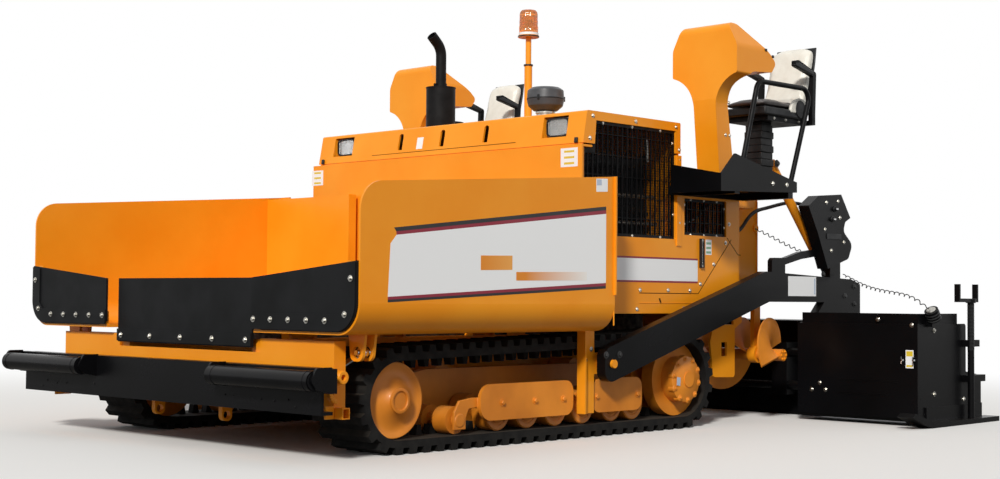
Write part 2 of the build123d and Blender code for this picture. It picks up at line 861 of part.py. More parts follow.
def engine_bay():
    """Front wall, side sheets with their mesh windows, floor over the conveyor tunnel, deck and rear wall."""
    half = side_y - sheet
    front = block(
        (hood_front - sheet, hood_front), (-body_half_width, body_half_width), (side_bottom, lower_hood_top)
    )
    front -= block(
        (hood_front - sheet - 1, hood_front + 1), (-tunnel_half_width - 20, tunnel_half_width + 20),
        (0, tunnel_top + 5)
    )
    lip = block(
        (hood_front - 90, hood_front), (-body_half_width, body_half_width),
        (lower_hood_top - sheet, lower_hood_top)
    )
    lip -= block((hood_front - 100, hood_front - 40), (-half, half), (0, 2000))
    outline = rounded(
        [
            (hood_front - sheet, side_bottom), (
                hood_front - sheet, lower_hood_top
            ), (hood_rear, lower_hood_top),
            (hood_rear, deck_z), (side_rear, deck_z), (side_rear, side_bottom),
        ]
    )
    window = rounded(
        [(mesh_front_low, mesh_low), (mesh_front_low, 1700), (mesh_rear, 1700), (mesh_rear, mesh_low)]
    )
    small = rounded(
        [
            (small_mesh[0], small_mesh[2]), (small_mesh[0], small_mesh[3]), (small_mesh[1], small_mesh[3]),
            (small_mesh[1], small_mesh[2])
        ]
    )
    pieces = [front, lip]
    for s in (-1, 1):
        low, high = sorted((s * half, s * side_y))
        pieces.append(along_y(outline - window - small, low, high))
        # post behind the large window
        pieces.append(
            block(
                (hood_rear, mesh_rear - 6), sorted((s * half, s * (side_y + 8))),
                (mesh_low - 40, lower_hood_top)
            )
        )
    pieces.append(
        block((rear_end, hood_front - sheet), (-half, half), (tunnel_top + 5, tunnel_top + 5 + sheet))
    )
    pieces.append(block((rear_end, hood_rear), (-half, half), (deck_z - sheet, deck_z)))
    pieces.append(block((hood_rear, hood_rear + sheet), (-half, half), (tunnel_top + 10, lower_hood_top)))
    rear = block((rear_end, rear_end + sheet), (-half, half), (side_bottom, deck_z))
    rear -= block(
        (rear_end - 1, rear_end + sheet + 1), (-tunnel_half_width - 20, tunnel_half_width + 20),
        (0, tunnel_top + 5)
    )
    pieces.append(rear)
    # seals in the seam under the upper cover
    seam = (lower_hood_top - 1, lower_hood_top + hood_seam - 0.3)
    pieces.append(block((upper_front_low - sheet - 6, upper_front_low - 5), (-half, half), seam))
    pieces.append(block((hood_rear + 5, hood_rear + sheet + 6), (-half, half), seam))
    return joined(pieces)


def upper_hood():
    """Folded cover: leaning front, flat top, sides with the mesh window's upper half."""
    low = lower_hood_top + hood_seam
    profile = rounded(
        [(upper_front_low, low), (upper_front_top, hood_top), (hood_rear, hood_top), (hood_rear, low)],
        [(1, 14), (2, 10)],
    )
    inner = rounded(
        [
            (upper_front_low - sheet, low - 1), (upper_front_top - sheet, hood_top - sheet),
            (hood_rear + sheet, hood_top - sheet), (hood_rear + sheet, low - 1),
        ]
    )
    half = upper_half_width
    shell = along_y(profile, -half, half) - along_y(inner, -half + sheet, half - sheet)
    window = rounded(
        [
            (mesh_front_high, low - 1), (mesh_front_high - 12, mesh_top), (mesh_rear, mesh_top),
            (mesh_rear, low - 1)
        ]
    )
    shell -= along_y(window, -half - 1, half + 1)
    for s in (-1, 1):
        shell -= block(
            (upper_front_top - 40, upper_front_low + 5), (s * lamp_y - 96, s * lamp_y + 96),
            (lamp_z - 62, lamp_z + 62)
        )
        # recess walls behind each lamp
        box = block(
            (upper_front_top - 72, upper_front_top + 4), (s * lamp_y - 102, s * lamp_y + 102),
            (lamp_z - 68, lamp_z + 68)
        )
        box -= block(
            (upper_front_top - 66, upper_front_top + 60), (s * lamp_y - 96, s * lamp_y + 96),
            (lamp_z - 62, lamp_z + 62)
        )
        shell += box & along_y(profile, -half, half)
    for y in (-slot_spacing, 0, slot_spacing):
        slot = rounded(
            [(y - 20, lamp_z - 55), (y + 20, lamp_z - 55), (y + 20, lamp_z + 50), (y - 20, lamp_z + 50)],
            [(2, 19.5), (3, 19.5)]
        )
        shell -= along_x(slot, upper_front_top - 40, upper_front_low + 5)
    return shell


keep("engine_bay", engine_bay())
keep("upper_hood", upper_hood())


def screens():
    """Steel grilles behind the two windows of one side."""
    y = side_y - sheet - 4.3
    gap = 8

    def grille(outline, x_front, x_rear, z_low, z_top, pitch, levels):
        count = int((x_front - x_rear) / pitch)
        bars = [
            block(
                (x_front - (i + 1) * pitch - 2, x_front - (i + 1) * pitch + 2), (y - 4, y + 4),
                (z_low, z_top)
            ) for i in range(count)
        ]
        bars += [block((x_rear, x_front), (y - 4, y + 2), (z - 2, z + 2)) for z in levels]
        grid = joined(bars) & along_y(outline, y - 5, y + 5)
        frame = along_y(outline, y - 4, y + 4)
        return grid, frame

    big = rounded(
        [
            (mesh_front_low + gap, mesh_low - gap), (mesh_front_low + gap, lower_hood_top - sheet - 1), (
                mesh_front_high + gap, lower_hood_top - sheet - 1
            ),
            (
                mesh_front_high + gap, mesh_top + gap
            ), (mesh_rear - gap, mesh_top + gap), (mesh_rear - gap, mesh_low - gap),
        ]
    )
    rim = mesh_rim
    hole = rounded(
        [
            (mesh_front_low + gap - rim, mesh_low - gap + rim), (mesh_front_low + gap - rim, lower_hood_top - sheet - 1 - rim), (
                mesh_front_high + gap - rim, lower_hood_top - sheet - 1 - rim
            ),
            (
                mesh_front_high + gap - rim, mesh_top + gap - rim
            ), (mesh_rear - gap + rim, mesh_top + gap - rim), (mesh_rear - gap + rim, mesh_low - gap + rim),
        ]
    )
    grid, frame = grille(
        big, mesh_front_low, mesh_rear, mesh_low, mesh_top, mesh_pitch, (1260, 1380, 1500, 1620, 1740)
    )
    large = grid + (frame - along_y(hole, y - 5, y + 5))
    f, r, low, top = small_mesh
    little = rounded([(f + gap, low - gap), (f + gap, top + gap), (r - gap, top + gap), (r - gap, low - gap)])
    opening = rounded(
        [
            (f + gap - rim, low - gap + rim), (f + gap - rim, top + gap - rim),
            (r - gap + rim, top + gap - rim), (r - gap + rim, low - gap + rim)
        ]
    )
    grid, frame = grille(little, f, r, low, top, mesh_pitch, (1260, 1340))
    small = grid + (frame - along_y(opening, y - 5, y + 5))
    return Compound(children=[*large.solids(), *small.solids()])


keep_both("side_screens", screens())

engine_low = tunnel_top + 5 + sheet + 0.3
keep("engine_block", block((-1560, -2180), (-330, 330), (engine_low, 1640)))

lamps = []
for s in (-1, 1):
    back = upper_front_top - 65.7
    lamps.append(block((back, back + 44), (s * lamp_y - 72, s * lamp_y + 72), (lamp_z - 50, lamp_z + 50)))
keep("headlights", Compound(children=[s for lamp in lamps for s in lamp.solids()]))

# exhaust: silencer on the hood, stack with its outlet turned forward
silencer = rod((exhaust_x, exhaust_y, hood_top + 0.3), (exhaust_x, exhaust_y, silencer_top), silencer_r)
outlet = (exhaust_x + stack_reach, exhaust_y, stack_top)
stack = tube(
    [(exhaust_x, exhaust_y, silencer_top - 10), (exhaust_x, exhaust_y, stack_bend_z), outlet], stack_r, 110
)
lip = Vector(stack_reach, 0, stack_top - stack_bend_z).normalized() * 6
bore_points = [
    (exhaust_x, exhaust_y, silencer_top + 10), (exhaust_x, exhaust_y, stack_bend_z),
    tuple(Vector(*outlet) + lip)
]
stack -= tube(bore_points, stack_r - 4, 110)
keep("exhaust", silencer + stack)

bowl = rounded(
    [
        (0, cleaner_low), (cleaner_r - 40, cleaner_low), (
            cleaner_r - 8, cleaner_low + 28
        ), (cleaner_r, cleaner_low + 66),
        (cleaner_r - 4, cleaner_top - 16), (cleaner_r - 28, cleaner_top), (0, cleaner_top),
    ],
    [(2, 16), (4, 12)],
)
cleaner = Pos(cleaner_x, cleaner_y, 0) * revolve(Plane.XZ * bowl, Axis.Z)
cleaner += rod(
    (cleaner_x, cleaner_y, hood_top + 0.3), (cleaner_x, cleaner_y, cleaner_low + 5), cleaner_neck_r
)
keep("air_precleaner", cleaner)

pole = rod((beacon_x, beacon_y, hood_top + 0.3), (beacon_x, beacon_y, pole_step_z), pole_r)
pole += rod((beacon_x, beacon_y, pole_step_z), (beacon_x, beacon_y, dome_low - 12), pole_r - 7)
pole += rod((beacon_x, beacon_y, dome_low - 14), (beacon_x, beacon_y, dome_low - 0.3), dome_r)
pole += rod((beacon_x, beacon_y, hood_top + 0.3), (beacon_x, beacon_y, hood_top + 12), pole_r + 26)
keep("beacon_pole", pole)
dome = rounded([(0, dome_low), (dome_r, dome_low), (dome_r - 6, dome_top), (0, dome_top)], [(2, 14)])
keep("beacon_lens", Pos(beacon_x, beacon_y, 0) * revolve(Plane.XZ * dome, Axis.Z))

# ---------------------------------------------------------------- operator's stations


def platform():
    """Outboard step plate with its skirt and the brackets down to the deck."""
    floor = block(
        (platform_rear, platform_front), (platform_inner, platform_outer), (platform_z - 12, platform_z)
    )
    skirt = rounded(
        [
            (
                platform_front, platform_z - 45
            ), (platform_front, platform_z + 60), (platform_front - 140, 1658), (platform_rear, 1522),
            (platform_rear, platform_z - 12),
        ],
        [(2, 20)],
    )
    pieces = [floor, along_y(skirt, platform_outer - 8, platform_outer)]
    front = rounded(
        [
            (platform_inner, platform_z - 45), (platform_outer, platform_z - 45),
            (platform_outer, platform_z + 60), (platform_inner, 1600)
        ]
    )
    pieces.append(along_x(front, platform_front - 8, platform_front))
    for x in (platform_front - 175, platform_rear + 60):
        pieces.append(
            block((x - 25, x + 25), (side_y + 8.3, platform_outer - 8), (platform_z - 52, platform_z - 12))
        )
    pieces.append(
        block(
            (platform_rear, platform_front), (side_y + 8.3, platform_inner), (platform_z - 52, platform_z)
        )
    )
    return joined(pieces)


def console():
    """Pod flared into a raked stem; the nose slopes towards the seat."""
    half, stem, foot = pod_half_width, stem_half_width, platform_z + 0.3
    profile = rounded(
        [
            (pod_front - 52, foot), (pod_front, 2000), (pod_front, pod_top), (
                pod_front - 90, pod_top
            ), (pod_nose + 55, 2292),
            (pod_nose, 2246), (pod_nose + 45, 2186), (-2465, pod_low + 16), (-2582, foot),
        ],
        [(2, 50), (3, 60), (4, 40), (5, 28), (6, 22), (7, 90)],
    )
    body = along_y(profile, station_y - half, station_y + half)
    crown = pod_top + pod_crown
    side = [(stem, foot), (stem, pod_low - 50), (half, pod_low), (half, pod_low + 170), (half - 75, crown)]
    face = rounded(
        [*side, *[(-y, z) for y, z in reversed(side)]],
        [(1, 200), (2, 14), (3, 80), (4, 40), (5, 40), (6, 80), (7, 14), (8, 200)],
    )
    return body & (Pos(0, station_y, 0) * along_x(face, pod_nose - 50, pod_front + 50))


def seat():
    """Shell with its back, cushion pad, frame, and pedestal, as four shapes."""
    y, x, z = station_y - 5, seat_x, seat_z
    half = 180
    base = rounded(
        [(x + 250, z - 95), (x + 265, z - 40), (x - 250, z - 25), (x - 250, z - 95)], [(0, 20), (1, 20)]
    )
    back = rounded(
        [
            (x - 190, z - 60), (x - 250, z - 95), (x - 300, z - 40), (x - 370, z + 400), (x - 320, z + 425),
            (x - 215, z + 60)
        ],
        [(3, 20), (4, 24), (2, 30)],
    )
    shell = along_y(base, y - half, y + half) + along_y(back, y - half + 10, y + half - 10)
    pad = rounded(
        [(x + 265, z - 39.7), (x + 262, z + 5), (x - 150, z + 12), (x - 185, z - 26.6)], [(1, 25), (2, 15)]
    )
    pad = along_y(pad, y - half + 22, y + half - 22)
    pan = block((x - 220, x + 200), (y - 150, y + 150), (z - 125, z - 95.3))
    for s in (-1, 1):
        arm = rounded(
            [
                (x - 250, z - 60), (x - 215, z - 60), (x - 225, z + 190), (x - 20, z + 235),
                (x - 20, z + 268), (x - 60, z + 275), (x - 262, z + 215)
            ],
            [(3, 12), (4, 12), (6, 20)],
        )
        low, high = sorted((y + s * (half + 0.3), y + s * (half + 31)))
        pan += along_y(arm, low, high)
        low, high = sorted((y + s * 140, y + s * (half + 31)))
        pan += block((x - 250, x - 215), (low, high), (z - 125, z - 95.3)) + block(
            (x - 250, x - 215), sorted((y + s * (half + 0.3), y + s * (half + 31))), (z - 125, z - 50)
        )
    post = block((x + 20, x + 130), (y - 55, y + 55), (platform_z + 0.3, z - 125))
    return shell, pad, pan + post


def rail():
    """Bent tube guard outside the seat."""
    y = platform_outer - 25
    low = platform_z - 30
    points = [(-2392, y, low), (-2605, y, 2122), (-3200, y, 2128), (-2935, y, low)]
    return tube(points, 16, 70) & block((-3400, -2300), (y - 30, y + 16), (platform_z + 0.3, 2200))


keep_both("operator_platforms", platform())
keep_both("control_consoles", console())
shell, pad, pan = seat()
pad = pad - shell
keep_both("seat_shells", shell)
keep_both("seat_cushions", pad)
keep_both("seat_frames", pan)
keep_both("guard_rails", rail())


# ---------------------------------------------------------------- side beams, tow points, rear frame

cable_socket = (-3362, 1263)  # x and z of the curly cable's socket
cable_socket_r = 26


def rear_housing():
    """Rear box between the tow arms, with the lift rams' upper brackets."""
    low, high, half = 790, 1465, 1000
    rear = -3380
    outline = rounded([(rear_end - 0.3, low), (rear_end - 0.3, high), (rear, high), (rear, low)], [(2, 20)])
    shell = along_y(outline, -half, half)
    shell -= block((rear + 12, rear_end + 5), (-half + 12, half - 12), (low - 1, high - 12))
    for s in (-1, 1):
        ear = rounded(
            [
                (-3010, 1380), (-3100, 1640), (-3180, 1730), (-3290, 1730), (-3315, 1640), (-3190, 1400),
                (-3190, 1380)
            ],
            [(2, 30), (3, 30), (4, 20)],
        )
        low_y, high_y = sorted((s * half, s * (half + 110)))
        shell += along_y(ear, low_y, high_y) - block(
            (-3400, -3000), sorted((s * (half + 16), s * (half + 94))), (1420, 1800)
        )
        shell += disc_y(lift_foot[0], lift_foot[1], lift_pin_r, *sorted((s * (half + 90), s * (lift_y + 36))))
    # socket of the screed's curly cable
    return shell + disc_y(cable_socket[0], cable_socket[1], cable_socket_r, half - 1, half + 10)


frame_half_width = 1100
frame_low = 705
frame_top = 789.7  # just under the rear housing


def auger_frame():
    """Cross beam, cheek plates and the augers' outer bearings."""
    beam = block((-3045, rear_end - 0.3), (-frame_half_width, frame_half_width), (frame_low, frame_top))
    beam -= block((-3046, rear_end), (-tunnel_half_width, tunnel_half_width), (frame_low - 1, 742))
    for s in (-1, 1):
        cheek = rounded(
            [
                (-2735, 296), (-2966, 289), (-2966, 600), (-3045, 640), (-3045, 780), (-2952, 780), (
                    -2952, 625.7
                ),
                (-2735, 625.7), (-2700, 520),
            ],
            [(0, 20), (1, 20), (8, 60)],
        )
        cheek -= Pos(-2850, 470) * Rectangle(60, 90)
        low, high = sorted((s * (auger_outer + 40), s * (auger_outer + 55)))
        beam += along_y(cheek, low, high)
        arm = rounded(
            [(auger_x - 34, auger_z), (auger_x - 34, 789.7), (auger_x + 34, 789.7), (auger_x + 34, auger_z)]
        )
        low, high = sorted((s * (auger_outer + 24), s * (auger_outer + 55)))
        beam += along_y(arm, low, high)
        beam += block(
            (auger_x - 34, -3000), (low, high), (770, 789.7)
        ) + block((-3045, -3000), (low, high), (705, 789.7))
        beam += disc_y(auger_x, auger_z, bearing_r, s * (auger_outer + 12), s * (auger_outer + 67))
        beam -= disc_y(
            auger_x, auger_z, auger_shaft_r - 8 + pin_clearance, s * (auger_outer - 5),
            s * (auger_outer + 80)
        )
    # middle gear case
    beam += block(
        (auger_x - 60, auger_x + 60), (-60, 60), (auger_z - 60, 770)
    ) + block((auger_x - 60, -3000), (-60, 60), (742, 770))
    beam -= disc_y(auger_x, auger_z, auger_shaft_r - 8 + pin_clearance, -61, 61)
    return beam


keep("rear_housing", rear_housing())
keep("auger_frame", auger_frame())


def auger():
    """Shaft with a helical flight, and a half turn outside the outer bearing."""

    def flight(low, high, turn):
        depth = auger_r - auger_shaft_r + 4
        helix = Helix(auger_pitch, high - low, auger_shaft_r - 4)
        start = Plane(origin=helix @ 0, x_dir=(1, 0, 0), z_dir=helix % 0)
        blade = sweep(
            start * Pos(depth / 2, 0) * Rectangle(depth, flight_thickness), path=helix, is_frenet=True
        )
        return Pos(auger_x, low, auger_z) * Rot(-90, 0, 0) * Rot(0, 0, turn) * blade

    low, high = auger_inner, auger_outer
    shaft = disc_y(auger_x, auger_z, auger_shaft_r, low, high)
    shaft += disc_y(auger_x, auger_z, auger_shaft_r - 8, low - 85, tip_inner + 1)
    shaft += disc_y(auger_x, auger_z, auger_shaft_r, tip_inner, tip_outer)
    return shaft + flight(low, high, 0) + flight(tip_inner + 12, tip_outer - 12, tip_turn)


keep_pair("auger", auger())

# ---------------------------------------------------------------- screed


def tow_arm():
    front = tow_x + 66
    top = arm_bend[1] - arm_slope * (front - arm_bend[0])
    bottom = arm_low - arm_slope * (front - arm_bend[0] + 35)
    side = rounded(
        [
            (front, bottom), (front, top), arm_bend, arm_heel, (
                arm_end, arm_heel[1] - 30
            ), (arm_end, arm_foot_z),
            (arm_end + 538, arm_foot_z), (arm_end + 459, arm_low), (arm_bend[0] - 35, arm_low),
        ],
        [(0, 60), (1, 60), (2, 40), (3, 60), (4, 20), (8, 40)],
    )
    arm = along_y(side, arm_inner, arm_outer) - disc_y(
        tow_x, tow_z, tow_pin_r + pin_clearance, arm_inner - 1, arm_outer + 1
    )
    arm += block((arm_end, arm_end + 518), (arm_inner - 60, arm_outer), (screed_top + 0.3, arm_foot_z))
    return arm

top_plate_x = (-3860, -3660)  # flat plate along the screed's top


def main_screed():
    """Screed body, with the guide blocks of the extensions' tubes on its front."""
    side = rounded(
        [
            (screed_front, 22), (screed_front - 22, 0), (screed_rear, 0), (screed_rear, 160), (
                screed_rear + 60, 200
            ),
            (screed_rear + 60, 500), (screed_rear + 150, screed_top), (screed_front, screed_top),
        ],
        [(0, 15)],
    )
    body = along_y(side, -screed_half_width, screed_half_width)
    body += block(top_plate_x, (-screed_half_width, screed_half_width), (screed_top - 16, screed_top))
    for s in (-1, 1):
        for y in guide_y:
            low, high = sorted((s * (y - 60), s * (y + 60)))
            body += block((-3590 if s > 0 else -3680, screed_front), (low, high), (150, 500))
            for z in tube_z:
                body -= disc_y(tube_x[s], z, tube_r + 1, low - 1, high + 1)
        low, high = sorted((s * (screed_half_width - 10), s * (screed_half_width + 14)))
        body += block((arm_end, screed_front), (low, high), (20, screed_top))
    return body


def lift_ram():
    sizes = (lift_barrel_r, lift_rod_r, lift_length, lift_stroke, lift_stroke, lift_pin_r)
    return ram((lift_foot[0], lift_y, lift_foot[1]), (lift_eye[0], lift_y, lift_eye[1]), (0, 1, 0), *sizes)


def extension(side):
    """Front-mounted extension: mouldboard, sole, end gate with its ski, jack and guide tubes."""
    x = tube_x[side]
    board = block((ext_front - 14, ext_front), (ext_inner, ext_outer), (50, ext_top))
    sole = rounded([(ext_front, 62), (ext_front - 20, 30), (-3790, 30), (-3790, 50), (ext_front, 80)])
    board += along_y(sole, ext_inner, ext_outer)
    board += block((-3640, ext_front), (ext_inner, ext_outer), (ext_top - 16, ext_top))
    board += block((ext_front - 40, ext_front - 26), (ext_inner + 20, ext_outer), (ext_top, end_rail_top))
    for y in range(ext_inner + 110, ext_outer - 60, 190):
        board += block((ext_front - 70, ext_front - 14), (y, y + 12), (50, ext_top - 16))
    gate = rounded(
        [
            (gate_front, 32.3), (gate_front, ext_top), (
                gate_rear_top, ext_top
            ), (gate_rear_top, 330), (gate_rear_low, 300), (gate_rear_low, 32.3),
        ],
        [(1, 10), (2, 20), (4, 20)],
    )
    board += along_y(gate, ext_outer, ext_outer + 15) + block(
        (gate_front, ext_front), (ext_outer - 5, ext_outer + 15), (50, ext_top)
    )
    board += block(
        (end_rail_rear, ext_front - 26), (ext_outer - 10, ext_outer + 4), (ext_top - 1, end_rail_top)
    )
    for z in tube_z:
        board += disc_y(x, z, tube_r, tube_inner, ext_outer + 5)
    return board


def ski():
    """Runner under the end gate, its upturned toe, and the jack that sets its height."""
    toe = rounded(
        [(ski_front, 78), (-3300, 100), (-3540, 32), (ski_rear, 32), (ski_rear, 0), (-3520, 0), (-3420, 20)],
        [(2, 60), (5, 80)],
    )
    runner = along_y(toe, ext_outer, ski_outer)
    runner += block((gate_rear_low + 10, gate_front - 40), (ext_outer + 14, ext_outer + 27), (20, 120))
    jack = rod((jack_x, jack_y, 20), (jack_x, jack_y, jack_top), 21)
    jack += block(
        (handle_x[1] - 8, handle_x[0] + 8), (jack_y - 18, jack_y + 18), (jack_top - 10, jack_top + 14)
    )
    for x in handle_x:
        jack += block((x - 8, x + 8), (jack_y - 18, jack_y + 18), (jack_top, handle_top))
    for rear, z in clamp_table:
        jack += block((rear, jack_x + 24), (ext_outer + 14, jack_y), (z - 22, z + 22))
    return runner + jack


def sensor():
    """Round grade sensor, leaning forward on a bracket outside the gate."""
    at, lean = Vector(*sensor_at), Vector(*sensor_lean)
    can = rod(at - lean * sensor_half, at + lean * sensor_half, sensor_r)
    return can + block((at.X - 34, at.X + 6), (ext_outer, at.Y), (ext_top - 16, at.Z - 8))


keep_both("tow_arms", tow_arm())
keep("main_screed", main_screed())
barrel, piston = lift_ram()
keep_pair("lift_ram_barrel", barrel)
keep_pair("lift_ram_rod", piston + disc_y(lift_eye[0], lift_eye[1], 14, lift_y - 60, arm_inner - 0.3))
for name, side in (("left", 1), ("right", -1)):
    whole = extension(side) + ski() + sensor()
    keep(f"extension_{name}", whole if side > 0 else other_side(whole))


def arm_top_z(x):
    """Height of the tow arm's level part."""
    share = (arm_bend[0] - x) / (arm_bend[0] - arm_heel[0])
    return arm_bend[1] + (arm_heel[1] - arm_bend[1]) * share + 0.3


def control_box():
    """Control panel on a stand above the tow arm, with the guard plate behind it and its brace."""
    panel = rounded(
        [
            (-3606, 1481), (-3887, 1503), (-4005, 1349), (-3939, 1318), (-3913, 1254), (-4031, 1167), (-3978, 1068), (-3719, 996),
            (-3593, 1236), (-3482, 1407),
        ],
        [(3, 18), (4, 40), (5, 45), (6, 40), (8, 60), (9, 10)],
    )
    low, high = arm_inner + 8, arm_outer + 28
    stand = along_y(panel, low, high)
    rear, front = -3930, -3800
    foot = rounded([(rear, arm_top_z(rear)), (front, arm_top_z(front)), (front, 1060), (rear, 1080)])
    stand += along_y(foot, arm_inner + 10, arm_outer - 6)
    lug_rear, lug_front = -3291, -3137
    brace = rounded(
        [
            (
                lug_front, arm_top_z(lug_front)
            ), (lug_front, 1040), (lug_front - 23, 1058), (lug_rear, 1060), (-3480, 1106),
            (-3720, 1130), (-3720, 1085), (-3480, 1056), (lug_rear, 1016), (lug_rear, arm_top_z(lug_rear)),
        ],
        [(1, 12), (2, 12)],
    )
    return stand + along_y(brace, arm_inner, arm_inner + 34)


keep_both("control_boxes", control_box())
half = walkway_half_width
walk = block((walkway_rear, screed_rear - 20), (-half, half), (walkway_z - 20, walkway_z))
walk += block((walkway_rear, walkway_rear + 12), (-half, half), (walkway_z, walkway_z + 60))
for y in rib_table:
    rib = rounded(
        [
            (screed_rear, 120), (screed_rear, 158), (screed_rear - 20, walkway_z - 20),
            (walkway_rear + 60, walkway_z - 20), (screed_rear - 60, 200)
        ]
    )
    walk += along_y(rib, y - 8, y + 8)
keep("screed_walkway", walk)

# ---------------------------------------------------------------- cords, on the left side only


def cord(name, route, radius):
    """A round tube whose arcs are as large as the runs beside them allow."""
    points = [Vector(*p) for p in route]
    bends = []
    for before, at, after in zip(points, points[1:], points[2:]):
        turn = (at - before).get_angle(after - at)
        bends.append(0.45 * min((at - before).length, (after - at).length) / tan(radians(turn / 2)))
    print(name, "bend radii", [round(bend) for bend in bends])
    path = FilletPolyline(*points, radius=bends)
    start = Plane(origin=path @ 0, z_dir=path % 0)
    whole = sweep(start * Circle(radius), path=path)
    print(
        name, "length", round(path.length), "volume over section times length",
        round(whole.volume / path.length / pi / radius**2, 4)
    )
    return whole


past = 200
screed_cable = cord("screed_cable", screed_cable_route, curly_r)
screed_cable &= block((-3700, -3250), (1010.3, arm_inner - 0.3), (1000, 1400))
keep("screed_cable", screed_cable)
sensor_cable = cord("sensor_cable", sensor_cable_route, curly_r)
sensor_cable &= block((-4000, -3500), (arm_outer + 28.3, sensor_at[1] + past), (600, 1100))
can_top = Vector(*sensor_at) + Vector(*sensor_lean) * (sensor_half + 0.3)
sensor_cable -= Plane(origin=can_top, z_dir=-Vector(*sensor_lean)) * Box(
    past, past, past, align=(Align.CENTER,) * 2 + (Align.MIN,)
)
keep("sensor_cable", sensor_cable)
box_hose = cord("box_hose", box_hose_route, hose_r)
keep("box_hose", box_hose & block((-3900, rear_end - 0.3), (1000, arm_inner + 7.7), (1100, 1500)))

boxes = [shape.bounding_box() for shape in made.values()]
front_end, rear_most = max(b.max.X for b in boxes), min(b.min.X for b in boxes)
shift = Pos(-(front_end + rear_most) / 2, 0, -min(b.min.Z for b in boxes))
print("origin moved by", shift.position)
for name, shape in made.items():
    solids = shape.solids()
    whole = solids[0] if len(solids) == 1 else Compound(solids)
    export_step(shift * whole, f"parts/{name}.step")
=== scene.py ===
import bpy
import bmesh
import math
from mathutils import Matrix, Vector


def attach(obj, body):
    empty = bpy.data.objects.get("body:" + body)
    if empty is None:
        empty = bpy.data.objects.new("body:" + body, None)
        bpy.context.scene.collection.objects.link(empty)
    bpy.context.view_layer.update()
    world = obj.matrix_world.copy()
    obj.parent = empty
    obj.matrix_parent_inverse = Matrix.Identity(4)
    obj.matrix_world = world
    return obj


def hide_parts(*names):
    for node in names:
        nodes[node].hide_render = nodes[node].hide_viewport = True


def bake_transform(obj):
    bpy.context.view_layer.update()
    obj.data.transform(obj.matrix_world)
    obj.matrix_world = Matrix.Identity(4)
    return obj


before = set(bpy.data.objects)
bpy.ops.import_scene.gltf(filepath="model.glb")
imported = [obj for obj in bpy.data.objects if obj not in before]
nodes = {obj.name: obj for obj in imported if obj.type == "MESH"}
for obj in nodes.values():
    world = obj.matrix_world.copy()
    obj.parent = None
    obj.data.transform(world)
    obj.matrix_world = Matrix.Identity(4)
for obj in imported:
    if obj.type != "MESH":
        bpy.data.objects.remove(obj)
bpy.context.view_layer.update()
idlerX = 1.965  # X of the front idler's axle, from which lengths along the machine are given
sides = ((1, "left"), (-1, "right"))


def link(piece):
    bpy.context.scene.collection.objects.link(piece)


def at(x, y, z):
    # a point given in mm, with X from the idler's axle, in metres in the CAD's own frame
    return Vector((x / 1000 + idlerX, y / 1000, z / 1000))


# camera: 55 mm lens, near the ground and outside the front left corner
cameraView = {
    "place": (7.144, 6.816, 0.790),
    "yaw": 223.741,  # degrees from +X
    "pitch": 2.165,
    "roll": 0.426,
    "lens": 54.97,  # mm on a sensor 36 mm wide
}


def makeCamera(view):
    yaw, pitch, roll = (math.radians(view[k]) for k in ("yaw", "pitch", "roll"))
    ahead = Vector((math.cos(yaw) * math.cos(pitch), math.sin(yaw) * math.cos(pitch), math.sin(pitch)))
    side = ahead.cross(Vector((0, 0, 1))).normalized()
    up = side.cross(ahead)
    right = side * math.cos(roll) + up * math.sin(roll)
    top = up * math.cos(roll) - side * math.sin(roll)
    camera = bpy.data.objects.new("Camera", bpy.data.cameras.new("Camera"))
    camera.matrix_world = Matrix((
        (right.x, top.x, -ahead.x, view["place"][0]),
        (right.y, top.y, -ahead.y, view["place"][1]),
        (right.z, top.z, -ahead.z, view["place"][2]),
        (0, 0, 0, 1),
    ))
    camera.data.lens = view["lens"]
    camera.data.sensor_width = 36
    camera.data.clip_end = 200
    link(camera)
    bpy.context.scene.camera = camera


makeCamera(cameraView)
print("camera placed")


def srgb(code):
    # sRGB hex to linear colour
    values = []
    for start in (0, 2, 4):
        c = int(code[start:start + 2], 16) / 255
        values.append(c / 12.92 if c <= 0.04045 else ((c + 0.055) / 1.055) ** 2.4)
    return (*values, 1)


def addNode(tree, kind, links=None, **settings):
    # links gives sockets by name or number, each with a value or with another node's output
    node = tree.nodes.new("ShaderNode" + kind)
    for name, value in settings.items():
        setattr(node, name, value)
    for name, value in (links or {}).items():
        socket = node.inputs[name]
        if isinstance(value, bpy.types.NodeSocket):
            tree.links.new(value, socket)
        else:
            socket.default_value = value
    return node


def newMaterial(name, roughness, metallic=0.0, **sockets):
    material = bpy.data.materials.new(name)
    material.use_nodes = True
    shader = material.node_tree.nodes["Principled BSDF"]
    shader.inputs["Roughness"].default_value = roughness
    shader.inputs["Metallic"].default_value = metallic
    for socket, value in sockets.items():
        shader.inputs[socket.replace("_", " ")].default_value = value
    return material, material.node_tree, shader


def mottled(tree, low, high, grain):
    # two shades of one colour, mixed by noise whose patches are grain mm across
    where = addNode(tree, "TexCoord")
    noise = addNode(tree, "TexNoise", {"Vector": where.outputs["Object"], "Scale": 1000 / grain, "Detail": 4})
    spread = addNode(tree, "MapRange", {"Value": noise.outputs["Fac"], "From Min": 0.35, "From Max": 0.65})
    mix = addNode(tree, "Mix", {"Factor": spread.outputs["Result"], 6: low, 7: high}, data_type="RGBA")
    return mix.outputs[2], spread.outputs["Result"]


def roughened(tree, shader, patches, most, least):
    # roughness that follows the patches of the colour
    rough = addNode(tree, "MapRange", {"Value": patches, "To Min": most, "To Max": least})
    tree.links.new(rough.outputs["Result"], shader.inputs["Roughness"])


